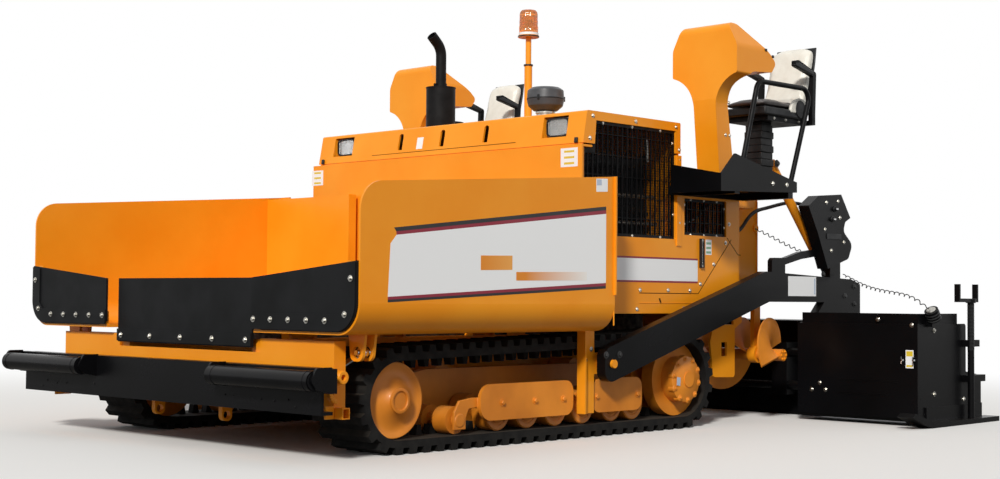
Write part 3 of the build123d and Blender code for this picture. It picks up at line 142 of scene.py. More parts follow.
def grained(tree, shader, grain, height):
    # surface relief: grain is the spacing of the bumps and height their depth, both in mm
    where = addNode(tree, "TexCoord")
    field = addNode(tree, "TexNoise", {"Vector": where.outputs["Object"], "Scale": 1000 / grain})
    bump = addNode(tree, "Bump", {"Height": field.outputs["Fac"], "Distance": height / 1000, "Strength": 1})
    tree.links.new(bump.outputs["Normal"], shader.inputs["Normal"])


def dusted(tree, colour, dust, amount):
    # dust settles where a face looks up, broken up by a coarse noise
    where = addNode(tree, "TexCoord")
    facing = addNode(tree, "SeparateXYZ", {"Vector": where.outputs["Normal"]})
    noise = addNode(tree, "TexNoise", {"Vector": where.outputs["Object"], "Scale": 9.0, "Detail": 6})
    lie = addNode(tree, "Math", {0: facing.outputs["Z"], 1: noise.outputs["Fac"]}, operation="MULTIPLY")
    spread = addNode(tree, "MapRange", {
        "Value": lie.outputs["Value"], "From Min": 0.1, "From Max": 0.6, "To Max": amount,
    })
    mix = addNode(tree, "Mix", {"Factor": spread.outputs["Result"], 6: colour, 7: dust}, data_type="RGBA")
    return mix.outputs[2]


def surfaced(name, light, dark, patch, roughness, swing, grain, height, dust=0.0, dirt="8C7E6B", **sockets):
    # two shades with dust on top, roughness that swings with the shades, and a fine relief
    material, tree, shader = newMaterial(name, roughness, **sockets)
    colour, patches = mottled(tree, srgb(dark), srgb(light), patch)
    if dust:
        colour = dusted(tree, colour, srgb(dirt), dust)
    tree.links.new(colour, shader.inputs["Base Color"])
    if swing:
        roughened(tree, shader, patches, roughness + swing[0], roughness - swing[1])
    grained(tree, shader, grain, height)
    return material


def enamel(name, light, dark, roughness, coat, dust=0.06, **sockets):
    # machine enamel sprayed on steel plate: glossy, with the fine orange peel of a sprayed coat,
    # which is really 2 to 3 mm across and drawn coarser to show
    return surfaced(name, light, dark, 420, roughness, (0.05, 0.03), 5, 0.12, dust, "B9A07A",
                    IOR=1.5, Coat_Weight=coat, Coat_Roughness=0.12, **sockets)


def steel(name, light, dark, roughness, patch=40):
    # rolled, plated or drawn steel, with the faint drag of its tools
    return surfaced(name, light, dark, patch, roughness, (0.1, 0.05), 2, 0.05, metallic=1.0)


def moulded(name, light, dark, roughness, grain, height, dust=0.0, patch=60, **sockets):
    # rubber, vinyl or plastic out of a mould, with a fine leathery or sandy skin
    return surfaced(name, light, dark, patch, roughness, (0.06, 0.06), grain, height, dust, **sockets)


def clearMoulded(name, light, dark, patch, roughness, grain, height, index, clear):
    # tinted polycarbonate or pressed glass, wavy from the mould
    return surfaced(name, light, dark, patch, roughness, None, grain, height,
                    IOR=index, Transmission_Weight=clear)


def film(name, colour):
    # self-adhesive vinyl film, slightly crinkled over the paint
    return moulded(name, colour, colour, 0.38, 25, 0.05, IOR=1.5)


low = {"IOR": 1.45, "Specular_IOR_Level": 0.14}  # black paint under grime gives back little of the sky
orangeEnamel = enamel("orangeEnamel", "FBA01F", "F69612", 0.36, 0.1, 0.03, Specular_IOR_Level=0.28)
runningGearEnamel = enamel("runningGearEnamel", "EE9226", "C97516", 0.5, 0.1, 0.12)  # dull with road dirt
blackEnamel = enamel("blackEnamel", "0E0E10", "070708", 0.3, 0.03, 0.006, Specular_IOR_Level=0.12)
satinBlack = moulded("satinBlackPowderCoat", "111113", "09090B", 0.42, 1.6, 0.08, **low)
trackRubber = moulded("trackRubber", "1B1A18", "100F0F", 0.86, 3, 0.35, 0.12, IOR=1.52,
                      Specular_IOR_Level=0.25)
beltingRubber = moulded("beltingRubber", "151618", "0F1011", 0.6, 2.5, 0.08, patch=260, IOR=1.52,
                        Specular_IOR_Level=0.14)
seatVinyl = moulded("creamSeatVinyl", "ECE9DF", "E3DFD4", 0.42, 1.8, 0.15, IOR=1.5)
cushionVinyl = moulded("greySeatVinyl", "57504E", "443F3D", 0.5, 1.8, 0.18, IOR=1.5)
blackPlastic = moulded("blackPolypropylene", "1B1C1E", "131416", 0.48, 1.2, 0.06, IOR=1.49,
                       Specular_IOR_Level=0.35)
greyPlastic = moulded("greyNylonCleaner", "46484C", "383A3E", 0.45, 1.2, 0.06, IOR=1.53)
cableSheath = moulded("polyurethaneCableSheath", "161617", "0D0D0E", 0.32, 1.0, 0.03, IOR=1.5,
                      Specular_IOR_Level=0.4)
hoseRubber = moulded("braidedHoseRubber", "1A1A1B", "101011", 0.6, 1.5, 0.12, IOR=1.52,
                     Specular_IOR_Level=0.3)
hotBlack = moulded("heatProofBlackPaint", "171718", "0F0F10", 0.55, 1.5, 0.1, **low)
conveyorSteel = steel("wornConveyorSteel", "5A544E", "2A2725", 0.5)
castIron = moulded("castIronBlock", "2C2D2E", "1E1F20", 0.65, 4, 0.3, IOR=1.5)
screenWire = steel("blackenedScreenWire", "2A2A2B", "19191A", 0.45, 20)
zincSteel = steel("zincPlatedSteel", "C9C7C0", "A6A39B", 0.3, 10)
chromeRod = steel("hardChromeRod", "D8DADC", "C6C8CA", 0.1, 30)
whiteFilm = film("whiteVinylFilm", "F6F7F8")
blackFilm = film("blackVinylFilm", "17171A")
redFilm = film("darkRedVinylFilm", "8E1B33")
yellowFilm = film("yellowVinylFilm", "E3C536")
greenFilm = film("greenVinylFilm", "7FA98A")
# pale blue vinyl film for labels, also used as painted shade along the arm plate's rear edge
paleFilmAndShade = film("paleBlueFilmAndPaintedShade", "B9C6DA")
# painted shade: a dark brownish orange for the shade inside open seams, a slot and a crease
seamShadow = moulded("paintedSeamShade", "3A1F0A", "2A1607", 0.8, 2, 0.1, IOR=1.45, Specular_IOR_Level=0.1)


def makeFade(name, start, end, front, rear):
    # screen-printed bar that fades along the machine from front to rear, both in mm from the idler
    material, tree, shader = newMaterial(name, 0.38, IOR=1.5)
    where = addNode(tree, "TexCoord")
    parts = addNode(tree, "SeparateXYZ", {"Vector": where.outputs["Object"]})
    along = addNode(tree, "MapRange", {
        "Value": parts.outputs["X"], "From Min": front / 1000 + idlerX, "From Max": rear / 1000 + idlerX,
    })
    mix = addNode(tree, "Mix", {"Factor": along.outputs["Result"], 6: srgb(start), 7: srgb(end)},
                  data_type="RGBA")
    tree.links.new(mix.outputs[2], shader.inputs["Base Color"])
    grained(tree, shader, 25, 0.05)
    return material


amberLens = clearMoulded("amberPolycarbonate", "FF9A2E", "FF9A2E", 30, 0.12, 8, 0.1, 1.585, 0.75)
lampGlass = clearMoulded("pressedLampGlass", "F8FAFA", "EEF1F2", 20, 0.06, 6, 0.2, 1.52, 0.85)
fadeShort = makeFade("fadingOrangeFilmShort", "E58A1C", "F0A850", -270, -499)
fadeLong = makeFade("fadingOrangeFilmLong", "E58A1C", "F6F3EE", -600, -1086)
print("materials made")

finishes = {
    "orange enamel": (orangeEnamel, """wing_left wing_right engine_bay upper_hood hopper_back_wall main_frame
        bumper control_consoles wing_ram_barrel_left wing_ram_barrel_right lift_ram_barrel_left
        lift_ram_barrel_right rear_housing auger_frame beacon_pole"""),
    "running gear": (runningGearEnamel, """auger_left auger_right track_frames drive_hubs idler_wheels
        track_rollers"""),
    "black enamel": (blackEnamel, """tow_arms control_boxes main_screed extension_left extension_right
        push_beam push_roller_left push_roller_right screed_walkway operator_platforms"""),
    "powder coat": (satinBlack, "guard_rails seat_frames side_screens"),
    "exhaust paint": (hotBlack, "exhaust"),
    "track": (trackRubber, "track_left track_right"),
    "flaps": (beltingRubber, "wing_flap_left wing_flap_right middle_flap"),
    "worn steel": (conveyorSteel, "slat_conveyors hopper_floor"),
    "engine": (castIron, "engine_block"),
    "rods": (chromeRod, "wing_ram_rod_left wing_ram_rod_right lift_ram_rod_left lift_ram_rod_right"),
    "cream vinyl": (seatVinyl, "seat_shells"),
    "grey vinyl": (cushionVinyl, "seat_cushions"),
    "cleaner": (greyPlastic, "air_precleaner"),
    "lamp": (blackPlastic, "headlights"),
    "cords": (cableSheath, "screed_cable sensor_cable box_hose"),
    "beacon": (amberLens, "beacon_lens"),
}
for material, names in finishes.values():
    for name in names.split():
        nodes[name].data.materials.clear()
        nodes[name].data.materials.append(material)
print("finishes given to", len(nodes), "nodes")


def finishPiece(piece, material, body):
    link(piece)
    piece.data.materials.append(material)
    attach(piece, body)
    return piece


def makePiece(name, material, shapes, body="machine", bevel=0.0, smooth=35):
    # shapes are drawn in mm from the idler's axle and turned to metres here
    bm = bmesh.new()
    for shape in shapes:
        shape(bm)
    for vertex in bm.verts:
        vertex.co = at(*vertex.co)
    bmesh.ops.recalc_face_normals(bm, faces=bm.faces)
    mesh = bpy.data.meshes.new(name)
    bm.to_mesh(mesh)
    bm.free()
    mesh.shade_smooth()
    mesh.set_sharp_from_angle(angle=math.radians(smooth))
    piece = bpy.data.objects.new(name, mesh)
    if bevel:
        edge = piece.modifiers.new("softEdges", "BEVEL")
        edge.width, edge.segments, edge.limit_method = bevel / 1000, 2, "ANGLE"
    return finishPiece(piece, material, body)


def makeCurve(name, points, radius, material=None, body=None, rings=3):
    curve = bpy.data.curves.new(name, "CURVE")
    curve.dimensions = "3D"
    curve.bevel_depth = radius / 1000
    curve.bevel_resolution = rings
    curve.use_fill_caps = radius > 0
    spline = curve.splines.new("NURBS")
    spline.points.add(len(points) - 1)
    for point, place in zip(spline.points, points):
        point.co = (*at(*place), 1)
    spline.order_u = 3
    spline.use_endpoint_u = True
    piece = bpy.data.objects.new(name, curve)
    return finishPiece(piece, material, body) if material else piece


def bridge(bm, a, b):
    # a strip of faces between two closed rings of points
    for i in range(len(a)):
        j = (i + 1) % len(a)
        bm.faces.new((a[i], a[j], b[j], b[i]))


def prism(outline, axis, start, end):
    # outline is in the two directions left over by axis, in the order X, Y, Z
    def draw(bm):
        near, far = (
            [bm.verts.new({"x": (d, a, b), "y": (a, d, b), "z": (a, b, d)}[axis]) for a, b in outline]
            for d in (start, end)
        )
        bm.faces.new(near)
        bm.faces.new(far[::-1])
        bridge(bm, near, far)

    return draw


def rect(a1, a2, b1, b2):
    return (a1, b1), (a2, b1), (a2, b2), (a1, b2)


def box(x, y, z):
    return prism(rect(*x, *z), "y", *y)


def slab(corners, lift):
    # a thin plate on four or more corners; lift is its thickness as a direction in mm
    def draw(bm):
        low = [bm.verts.new(c) for c in corners]
        high = [bm.verts.new(Vector(c) + Vector(lift)) for c in corners]
        bm.faces.new(low)
        bm.faces.new(high[::-1])
        bridge(bm, low, high)

    return draw


def lathe(profile, centre, axis, segments=24, turn=0.0, flutes=0, depth=0.0, closed=False):
    # profile is (radius, height along axis) in mm; flutes ripple the radius by depth
    def draw(bm):
        ahead = Vector(axis).normalized()
        side = ahead.orthogonal().normalized()
        other = ahead.cross(side)
        rings = []
        for radius, height in profile:
            middle = Vector(centre) + ahead * height
            if radius <= 0:
                rings.append([bm.verts.new(middle)])
                continue
            rings.append([])
            for i in range(segments):
                angle = math.tau * i / segments + turn
                reach = radius + depth * math.cos(flutes * angle)
                outward = side * math.cos(angle) + other * math.sin(angle)
                rings[-1].append(bm.verts.new(middle + outward * reach))
        for a, b in list(zip(rings, rings[1:])) + ([(rings[-1], rings[0])] if closed else []):
            for i in range(segments):
                j = (i + 1) % segments
                quad = [a[i % len(a)], a[j % len(a)], b[j % len(b)], b[i % len(b)]]
                corners = list(dict.fromkeys(quad))
                if len(corners) > 2:
                    bm.faces.new(corners)

    return draw


def rod(radius, length, centre, axis, segments=24):
    return lathe(((0, 0), (radius, 0), (radius, length), (0, length)), centre, axis, segments)


def band(inner, outer, length, centre, axis, segments=24):
    return lathe(((inner, 0), (outer, 0), (outer, length), (inner, length)), centre, axis, segments,
                 closed=True)


boltShape = {"washer": 1.6, "washerHeight": 0.2, "head": 0.98, "headHeight": 0.85}  # shares of a bolt's size


def bolt(place, axis, size):
    # washer and hex head; size is half the head's width across its corners
    rim, w, head, h = (boltShape[k] * size for k in ("washer", "washerHeight", "head", "headHeight"))
    washer = lathe(((0, 0), (rim, 0), (rim, w * 0.7), (rim * 0.94, w), (0, w)), place, axis, 14)
    nut = ((0, w), (head, w), (head, w + h * 0.8), (head * 0.82, w + h), (0, w + h))
    return washer, lathe(nut, place, axis, 6, turn=place[0] % 1.0)


def addBolts(name, places, axis, size, body="machine", material=zincSteel):
    makePiece(name, material, [shape for place in places for shape in bolt(place, axis, size)], body,
              smooth=25)


print("tools ready")

# curly cables: the helix follows the route's own NURBS line; a mesh tube runs from one body to the next
curlyCables = {
    "screedCable": {
        "node": "screed_cable", "bodies": ("machine", "screed"), "turns": 9, "coil": 8.5, "wire": 3.2,
        "route": (
            (-3350, 1010.3, 1259), (-3400, 1065, 1225), (-3460, 1140, 1172), (-3520, 1205, 1128),
            (-3565, 1249.7, 1104),
        ),
    },
    "sensorCable": {
        "node": "sensor_cable", "bodies": ("screed", "extension_left"), "turns": 18, "coil": 9.2, "wire": 3.2,
        "route": (
            (-3908, 1341, 963), (-3880, 1400, 937), (-3815, 1530, 893), (-3745, 1670, 860),
            (-3680, 1815, 841), (-3625, 1940, 828), (-3585, 2040, 804), (-3572, 2102, 772),
            (-3590, 2146, 736),
        ),
    },
}
hoseRoute = (
    (-2950.3, 1120, 1218), (-2996, 1124, 1228), (-3036, 1130, 1262), (-3070, 1138, 1308), (-3120, 1146, 1350),
    (-3190, 1150, 1374), (-3290, 1151, 1392), (-3400, 1150, 1415), (-3500, 1149, 1433), (-3600, 1150, 1439),
    (-3680, 1156, 1434), (-3742, 1182, 1424), (-3786, 1226, 1412), (-3804, 1257.7, 1406),
)


def meshFrom(curve):
    link(curve)
    bpy.context.view_layer.update()
    mesh = bpy.data.meshes.new_from_object(curve)
    bpy.context.scene.collection.objects.unlink(curve)
    return mesh


def lineOf(curve):
    # points of a curve's own line
    keptDepth, curve.data.bevel_depth = curve.data.bevel_depth, 0
    curve.data.resolution_u = 12
    mesh = meshFrom(curve)
    curve.data.bevel_depth = keptDepth
    points = [v.co.copy() for v in mesh.vertices]
    return points, sum((b - a).length for a, b in zip(points, points[1:]))


def placeAlong(points, share):
    lengths = [0.0]
    for a, b in zip(points, points[1:]):
        lengths.append(lengths[-1] + (b - a).length)
    goal = min(max(share, 0), 1) * lengths[-1]
    for i in range(1, len(points)):
        if lengths[i] >= goal:
            part = (goal - lengths[i - 1]) / max(lengths[i] - lengths[i - 1], 1e-9)
            return points[i - 1].lerp(points[i], part), (points[i] - points[i - 1]).normalized()
    return points[-1], (points[-1] - points[-2]).normalized()


def meshOf(curve, name, material):
    mesh = meshFrom(curve)
    mesh.materials.clear()
    mesh.materials.append(material)
    mesh.shade_smooth()
    piece = bpy.data.objects.new(name, mesh)
    link(piece)
    return piece


def makeCurlyCable(name, kind):
    points, run = lineOf(makeCurve(name + "Line", kind["route"], 0))
    steps = kind["turns"] * 12
    helix = []
    for i in range(steps + 1):
        share = i / steps
        middle, ahead = placeAlong(points, share)
        side = ahead.cross(Vector((0, 0, 1))).normalized()
        up = side.cross(ahead)
        angle = math.tau * share * kind["turns"]
        grow = min(1, share * kind["turns"], (1 - share) * kind["turns"]) * kind["coil"] / 1000
        helix.append(middle + (side * math.cos(angle) + up * math.sin(angle)) * grow)
    local = [((p.x - idlerX) * 1000, p.y * 1000, p.z * 1000) for p in helix]
    curve = makeCurve(name, local, kind["wire"], rings=2)
    path, length = lineOf(curve)
    curve.data.resolution_u = 2
    piece = meshOf(curve, name, cableSheath)
    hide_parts(kind["node"])
    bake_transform(piece)
    print(name, "wire", round(length, 3), "m over a run of", round(run, 3), "m")


def makeBoxHose():
    curve = makeCurve("boxHose", hoseRoute, 12)
    path, length = lineOf(curve)
    curve.data.resolution_u = 6
    piece = meshOf(curve, "boxHose", hoseRubber)
    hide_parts("box_hose")
    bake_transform(piece)
    print("boxHose", round(length, 3), "m")


for name, kind in curlyCables.items():
    makeCurlyCable(name, kind)
makeBoxHose()
print("cords made")

up, forward = (0, 0, 1), (1, 0, 0)
filmLift = 0.5  # mm that a film stands off the paint

# printed film on the left wing: a white field between black and dark red bars, kept free of lettering
wingFilm = {
    "face": 1469.3,
    "field": ((300, 1082), (-1246, 1250), (-1246, 872), (352, 788), (338, 1040)),
    "topBlack": ((316, 1116), (-1246, 1290), (-1246, 1270), (302, 1098)),
    "topRed": ((302, 1098), (-1246, 1270), (-1246, 1250), (300, 1082)),
    "lowRed": ((352, 788), (-1246, 872), (-1246, 856), (352, 774)),
    "lowBlack": ((352, 774), (-1246, 856), (-1246, 842), (352, 762)),
    "shortBar": ((-270, 998), (-500, 1003), (-500, 930), (-270, 925)),
    "longBar": ((-530, 920), (-1086, 930), (-1086, 884), (-530, 876)),
    "label": ((-1162, 1438), (-1258, 1443), (-1258, 1372), (-1162, 1366)),
    "labelCorner": ((-1166, 1434), (-1206, 1436), (-1206, 1404), (-1166, 1402)),
}


def makeFilm(name, outline, face, material, body, lift=filmLift):
    makePiece(name, material, [prism(outline, "y", face, face + lift)], body)


face = wingFilm["face"]
for part, material in (("field", whiteFilm), ("topBlack", blackFilm), ("topRed", redFilm),
                       ("lowRed", redFilm), ("lowBlack", blackFilm)):
    makeFilm("wingFilm." + part, wingFilm[part], face, material, "wing_left")
for part, material in (("shortBar", fadeShort), ("longBar", fadeLong)):
    makeFilm("wingFilm." + part, wingFilm[part], face + filmLift, material, "wing_left")
makeFilm("wingLabel", wingFilm["label"], face, whiteFilm, "wing_left")
makeFilm("wingLabel.corner", wingFilm["labelCorner"], face + filmLift, paleFilmAndShade, "wing_left")

# band on the left side sheet, white between dark red lines, and small plain labels
sideFace, armFace = 1172.3, 1312.3
sideBand = {"x": (-1385, -2487), "field": (896, 1026), "topLine": (1026, 1037), "lowLine": (885, 896)}
for part, material in (("field", whiteFilm), ("topLine", redFilm), ("lowLine", redFilm)):
    makeFilm("sideBand." + part, rect(*sideBand["x"], *sideBand[part]), sideFace, material, "machine")
makeFilm("gaugeLabel", rect(-2570, -2632, 1064, 1158), sideFace, whiteFilm, "machine")
for i in range(3):
    low = 1072 + i * 28
    bar = rect(-2576, -2626, low, low + 14)
    makeFilm(f"gaugeLabel.bar{i}", bar, sideFace + filmLift, greenFilm, "machine", 0.4)
makeFilm("armPlate", rect(-3281, -3614, 812, 941), armFace, whiteFilm, "screed", 1)
# pale blue strip of painted shade along the plate's rear edge
makeFilm("armPlate.shadeStrip", rect(-3590, -3606, 824, 929), armFace + 1, paleFilmAndShade, "screed", 0.4)

# plain labels on the hood's front: middle, height and half sizes, white with pale yellow bars
hoodLabels = {
    "face": -1364.9, "lower": ((1095, 1590, 64, 54), (-1146, 1580, 58, 50)), "upper": (-198, 1758, 28, 37),
}
x = hoodLabels["face"]
for i, (middle, height, half, rise) in enumerate(hoodLabels["lower"]):
    makePiece(f"hoodLabel{i}", whiteFilm,
              [box((x, x + 0.7), (middle - half, middle + half), (height - rise, height + rise))])
    makePiece(f"hoodLabel{i}.bars", yellowFilm, [
        box((x + 0.7, x + 1), (middle - half * 0.6, middle + half * 0.6), (z - 6, z + 6))
        for z in (height - 34, height, height + 34)
    ])


def coverFront(z):
    # the cover's front leans back by 36 mm over 189 mm of height
    return -1396 - (z - 1674) * 36 / 189


middle, height, half, rise = hoodLabels["upper"]
makePiece("coverLabel", whiteFilm, [slab([
    (coverFront(z) + 0.4, middle + y, z)
    for y, z in ((-half, height - rise), (half, height - rise), (half, height + rise), (-half, height + rise))
], (0.5, 0, 0))])
print("films and labels made")

# zinc bolts, listed as (X, Z) or (Y, Z) on the face that carries them
boltPlaces = {
    "flapFace": 545.3, "middleFace": 500.2, "sheetFace": 1172.1, "screenFace": 1160.2, "beamFace": 641.2,
    "flapRow": ((690, 673), (827, 673), (965, 673), (1103, 673), (1241, 673), (1384, 704), (1424, 872)),
    "middleRow": ((-568, 566), (-284, 566), (0, 566), (284, 566), (568, 566)),
    "sideSheet": (
        (-2783, 1144), (-2655, 1006), (-2516, 881), (-1918, 840), (-2189, 840), (-2408, 840), (-2347, 730),
        (-1890, 726), (-2820, 1263), (-2296, 1551), (-2296, 1251), (-2297, 1637),
    ),
    "cover": ((-1481, 1834), (-1455, 1705), (-1872, 1835), (-2265, 1835), (-2297, 1697)),
    "screens": (
        (-1585, 1800), (-1853, 1800), (-2122, 1800), (-1511, 1737), (-2243, 1734), (-1400, 1641),
        (-1400, 1550), (-1400, 1402), (-1400, 1260), (-1600, 1158), (-1857, 1158), (-2126, 1158),
        (-2252, 1300), (-2252, 1440), (-2252, 1580), (-2428, 1401), (-2566, 1401), (-2700, 1401),
        (-2364, 1365), (-2364, 1249), (-2428, 1184), (-2566, 1184), (-2700, 1184), (-2782, 1359),
        (-2782, 1239),
    ),
    "pushBeam": ((600, 300), (888, 292), (992, 288), (1098, 300), (1150, 266)),
}
b = boltPlaces
for s, side in sides:
    out = (0, s, 0)
    flapBolts = [(b["flapFace"], s * y, z) for y, z in b["flapRow"]]
    addBolts(f"flapBolts.{side}", flapBolts, forward, 10, f"wing_{side}")
    addBolts(f"sideBolts.{side}", [(x, s * b["sheetFace"], z) for x, z in b["sideSheet"]], out, 8)
    addBolts(f"coverBolts.{side}", [(x, s * b["sheetFace"], z) for x, z in b["cover"]], out, 8)
    screenBolts = [(x, s * b["screenFace"], z) for x, z in b["screens"]]
    addBolts(f"screenBolts.{side}", screenBolts, out, 5.5)
addBolts("middleFlapBolts", [(b["middleFace"], y, z) for y, z in b["middleRow"]], forward, 10)
beamBolts = [(b["beamFace"], s * y, z) for s, _ in sides for y, z in b["pushBeam"]]
addBolts("pushBeamBolts", beamBolts, forward, 4, "machine", blackEnamel)
print("bolts made")

# seams between the side sheet's panels and the slot for a lifting hook, drawn as dark strips of painted
# shade, and the fold under them
seams = {
    "width": 4.5, "face": boltPlaces["sheetFace"],
    "panel": ((-2844, 1166), (-2494, 821), (-1912, 821)),
    "rear": ((-2798, 1176), (-2918, 1072), (-2948, 1070)),
    "slot": ((-2098, 790), (-2112, 792), (-2128, 760), (-2114, 757)),
}


def seamStrip(start, end, face, width):
    (x1, z1), (x2, z2) = start, end
    across = Vector((z2 - z1, 0, x1 - x2)).normalized() * width / 2
    a, b = Vector((x1, face, z1)), Vector((x2, face, z2))
    return slab([a + across, b + across, b - across, a - across], (0, math.copysign(0.5, face), 0))


for s, side in sides:
    face = s * seams["face"]
    for part in ("panel", "rear"):
        makePiece(f"sheetSeamShade.{part}.{side}", seamShadow,
                  [seamStrip(a, b, face, seams["width"]) for a, b in zip(seams[part], seams[part][1:])])
    makePiece(f"sheetFold.{side}", orangeEnamel,
              [prism(rect(-1912, -2460, 760, 763), "y", face, s * 1175)], bevel=1)
    makePiece(f"hookSlotShade.{side}", seamShadow, [prism(seams["slot"], "y", face, face + s * 0.5)])
    latch = [(coverFront(1691) + x, z) for x, z in ((2, 1672), (16, 1676), (12, 1706), (2, 1704))]
    makePiece(f"coverLatch.{side}", blackPlastic, [prism(latch, "y", s * 1112, s * 1134)], bevel=2)
# the cover's crease, drawn as a thin strip of painted shade
creaseShadeStrip = [(coverFront(z) + 0.2, y, z + rise)
          for z, y, rise in ((1703, -640, 0), (1703, 640, 3), (1708, 640, 1), (1708, -640, -2))]
makePiece("coverCreaseShade", seamShadow, [slab(creaseShadeStrip, (0.8, 0, 0))])
print("seams made")

# level gauge beside the label: clear tube in a black guard with end fittings
gauge = {"x": -2519, "low": 982, "top": 1162, "half": 15, "back": 1172.3, "tube": 1183}
g = gauge
x1, x2 = g["x"] - g["half"], g["x"] + g["half"]
makePiece("levelGauge.guard", blackPlastic, [
    box((x1, x1 + 6), (g["back"], 1192), (g["low"], g["top"])),
    box((x2 - 6, x2), (g["back"], 1192), (g["low"], g["top"])),
    box((x1, x2), (g["back"], 1175), (g["low"], g["top"])),
], bevel=1)
makePiece("levelGauge.tube", lampGlass, [rod(6, 148, (g["x"], g["tube"], g["low"] + 16), up, 16)])
makePiece("levelGauge.fittings", zincSteel,
          [rod(8, 12, (g["x"], g["tube"], z), up, 6) for z in (g["low"] + 4, g["top"] - 16)])

# headlamps: black bezel, chrome bowl and fluted glass in the cover's recesses
headlamp = {"y": 940, "z": 1780, "half": 78, "rise": 47, "rim": 7, "glassX": -1437, "flutes": 13,
            "ripple": 1.6}


def bezel(y0, z0):
    h = headlamp

    def draw(bm):
        rings = []
        for rim, x in ((h["rim"], -16), (h["rim"], 2), (0, 2), (0, -4)):
            rings.append([])
            for k in range(32):
                c, n = math.cos(math.tau * k / 32), math.sin(math.tau * k / 32)
                scale = (abs(c) ** 6 + abs(n) ** 6) ** (-1 / 6)  # a rectangle with round corners
                rings[-1].append(bm.verts.new((h["glassX"] + x, y0 + (h["half"] + rim) * c * scale,
                                               z0 + (h["rise"] + rim) * n * scale)))
        for a, b in zip(rings, rings[1:]):
            bridge(bm, a, b)

    return draw


def flutedGlass(y0, z0):
    h = headlamp
    columns, rows = 4 * h["flutes"], 6

    def draw(bm):
        grid = []
        for i in range(columns + 1):
            u = -1 + 2 * i / columns
            x = h["glassX"] - 3 - 5 * u * u + h["ripple"] * math.cos(math.tau * h["flutes"] * i / columns)
            grid.append([bm.verts.new((x, y0 + u * h["half"], z0 + (-1 + 2 * j / rows) * h["rise"]))
                         for j in range(rows + 1)])
        back = [bm.verts.new((h["glassX"] - 12, y0 + a * h["half"], z0 + c * h["rise"]))
                for a, c in ((-1, -1), (1, -1), (1, 1), (-1, 1))]
        for i in range(columns):
            for j in range(rows):
                bm.faces.new((grid[i][j], grid[i + 1][j], grid[i + 1][j + 1], grid[i][j + 1]))
        bm.faces.new([back[0], back[1], *[column[0] for column in grid[::-1]]])
        bm.faces.new([back[2], back[3], *[column[rows] for column in grid]])
        bm.faces.new([back[3], back[0], *grid[0]])
        bm.faces.new([back[1], back[2], *grid[columns][::-1]])
        bm.faces.new(back[::-1])

    return draw


for s, side in sides:
    x0, y0, z0 = headlamp["glassX"], s * headlamp["y"], headlamp["z"]
    half, rise = headlamp["half"] + 6, headlamp["rise"] + 6
    makePiece(f"headlampBezel.{side}", blackPlastic, [bezel(y0, z0)])
    makePiece(f"headlampGlass.{side}", lampGlass, [flutedGlass(y0, z0)], smooth=50)
    makePiece(f"headlampBowl.{side}", chromeRod, [
        lathe(((10, 0), (28, 3), (40, 8), (46, 15)), (x0 - 30, y0, z0), forward, 32),
        lathe(((0, 14), (7, 12), (9, 5), (9, 0)), (x0 - 30, y0, z0), forward, 16),
    ])
    makePiece(f"headlampPlate.{side}", zincSteel,
              [box((x0 - 17.5, x0 - 16.2), (y0 - half, y0 + half), (z0 - rise, z0 + rise))])

# beacon: fluted amber dome in three bands on a white base, with its bulb inside
beacon = {
    "place": (-2240, -35, 2530), "flutes": 28, "ripple": 0.9,
    "base": ((0, 0), (66, 0), (66, 16), (66, 16), (0, 16)),
    "dome": (
        (0, 16.2), (62, 18), (63, 58), (60, 60), (61, 98), (59, 100), (59.5, 140), (56, 156), (46, 167),
        (0, 169.5),
    ),
    "bulb": ((0, 18), (20, 18), (20, 30), (9, 34), (9, 92), (0, 98)),
}
q = beacon
makePiece("beaconBase", whiteFilm, [lathe(q["base"], q["place"], up, 48)])
dome = makePiece("beaconDome", amberLens,
                 [lathe(q["dome"], q["place"], up, q["flutes"] * 6, flutes=q["flutes"], depth=q["ripple"])],
                 smooth=60)
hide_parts("beacon_lens")
makePiece("beaconBulb", chromeRod, [lathe(q["bulb"], q["place"], up, 20)])
makePiece("beaconRings", blackPlastic,
          [band(27, 31, 10, (-2240, -35, 2326), up, 28), band(69.2, 71, 8, (-2240, -35, 2518), up, 36)])

# bands of the exhaust (radius, Z and height), and the seam, clips and bright neck of the air cleaner
exhaust = {"x": -1700, "y": -310, "bands": ((95, 1868, 6), (95, 2144, 6), (36, 2152, 24))}
makePiece("exhaustBands", hotBlack, [
    band(r - 2, r + 3, h, (exhaust["x"], exhaust["y"], z), up, 40) for r, z, h in exhaust["bands"]
] + [box((-1662, -1640), (-316, -304), (2155, 2173))])
cleaner = {
    "x": -1700, "y": 608, "clips": 3, "clipRadius": 113,
    "seam": ((113.6, 1992), (115.4, 1994), (115.4, 2000), (113.6, 2002)),
    "neck": ((53, 1866), (58, 1866), (58, 1878), (54, 1882), (54, 1904), (60, 1908), (60, 1918), (53, 1918)),
}
foot = (cleaner["x"], cleaner["y"], 0)
shapes = [lathe(cleaner["seam"], foot, up, 48, closed=True)]
for k in range(cleaner["clips"]):
    angle = math.tau * k / cleaner["clips"] + 0.35
    x = foot[0] + cleaner["clipRadius"] * math.cos(angle)
    y = foot[1] + cleaner["clipRadius"] * math.sin(angle)
    shapes.append(box((x - 6, x + 6), (y - 6, y + 6), (1984, 2014)))
makePiece("cleanerBand", blackPlastic, shapes, bevel=1)
makePiece("cleanerNeck", zincSteel, [lathe(cleaner["neck"], foot, up, 40, closed=True)])
print("lamps, beacon and stacks made")

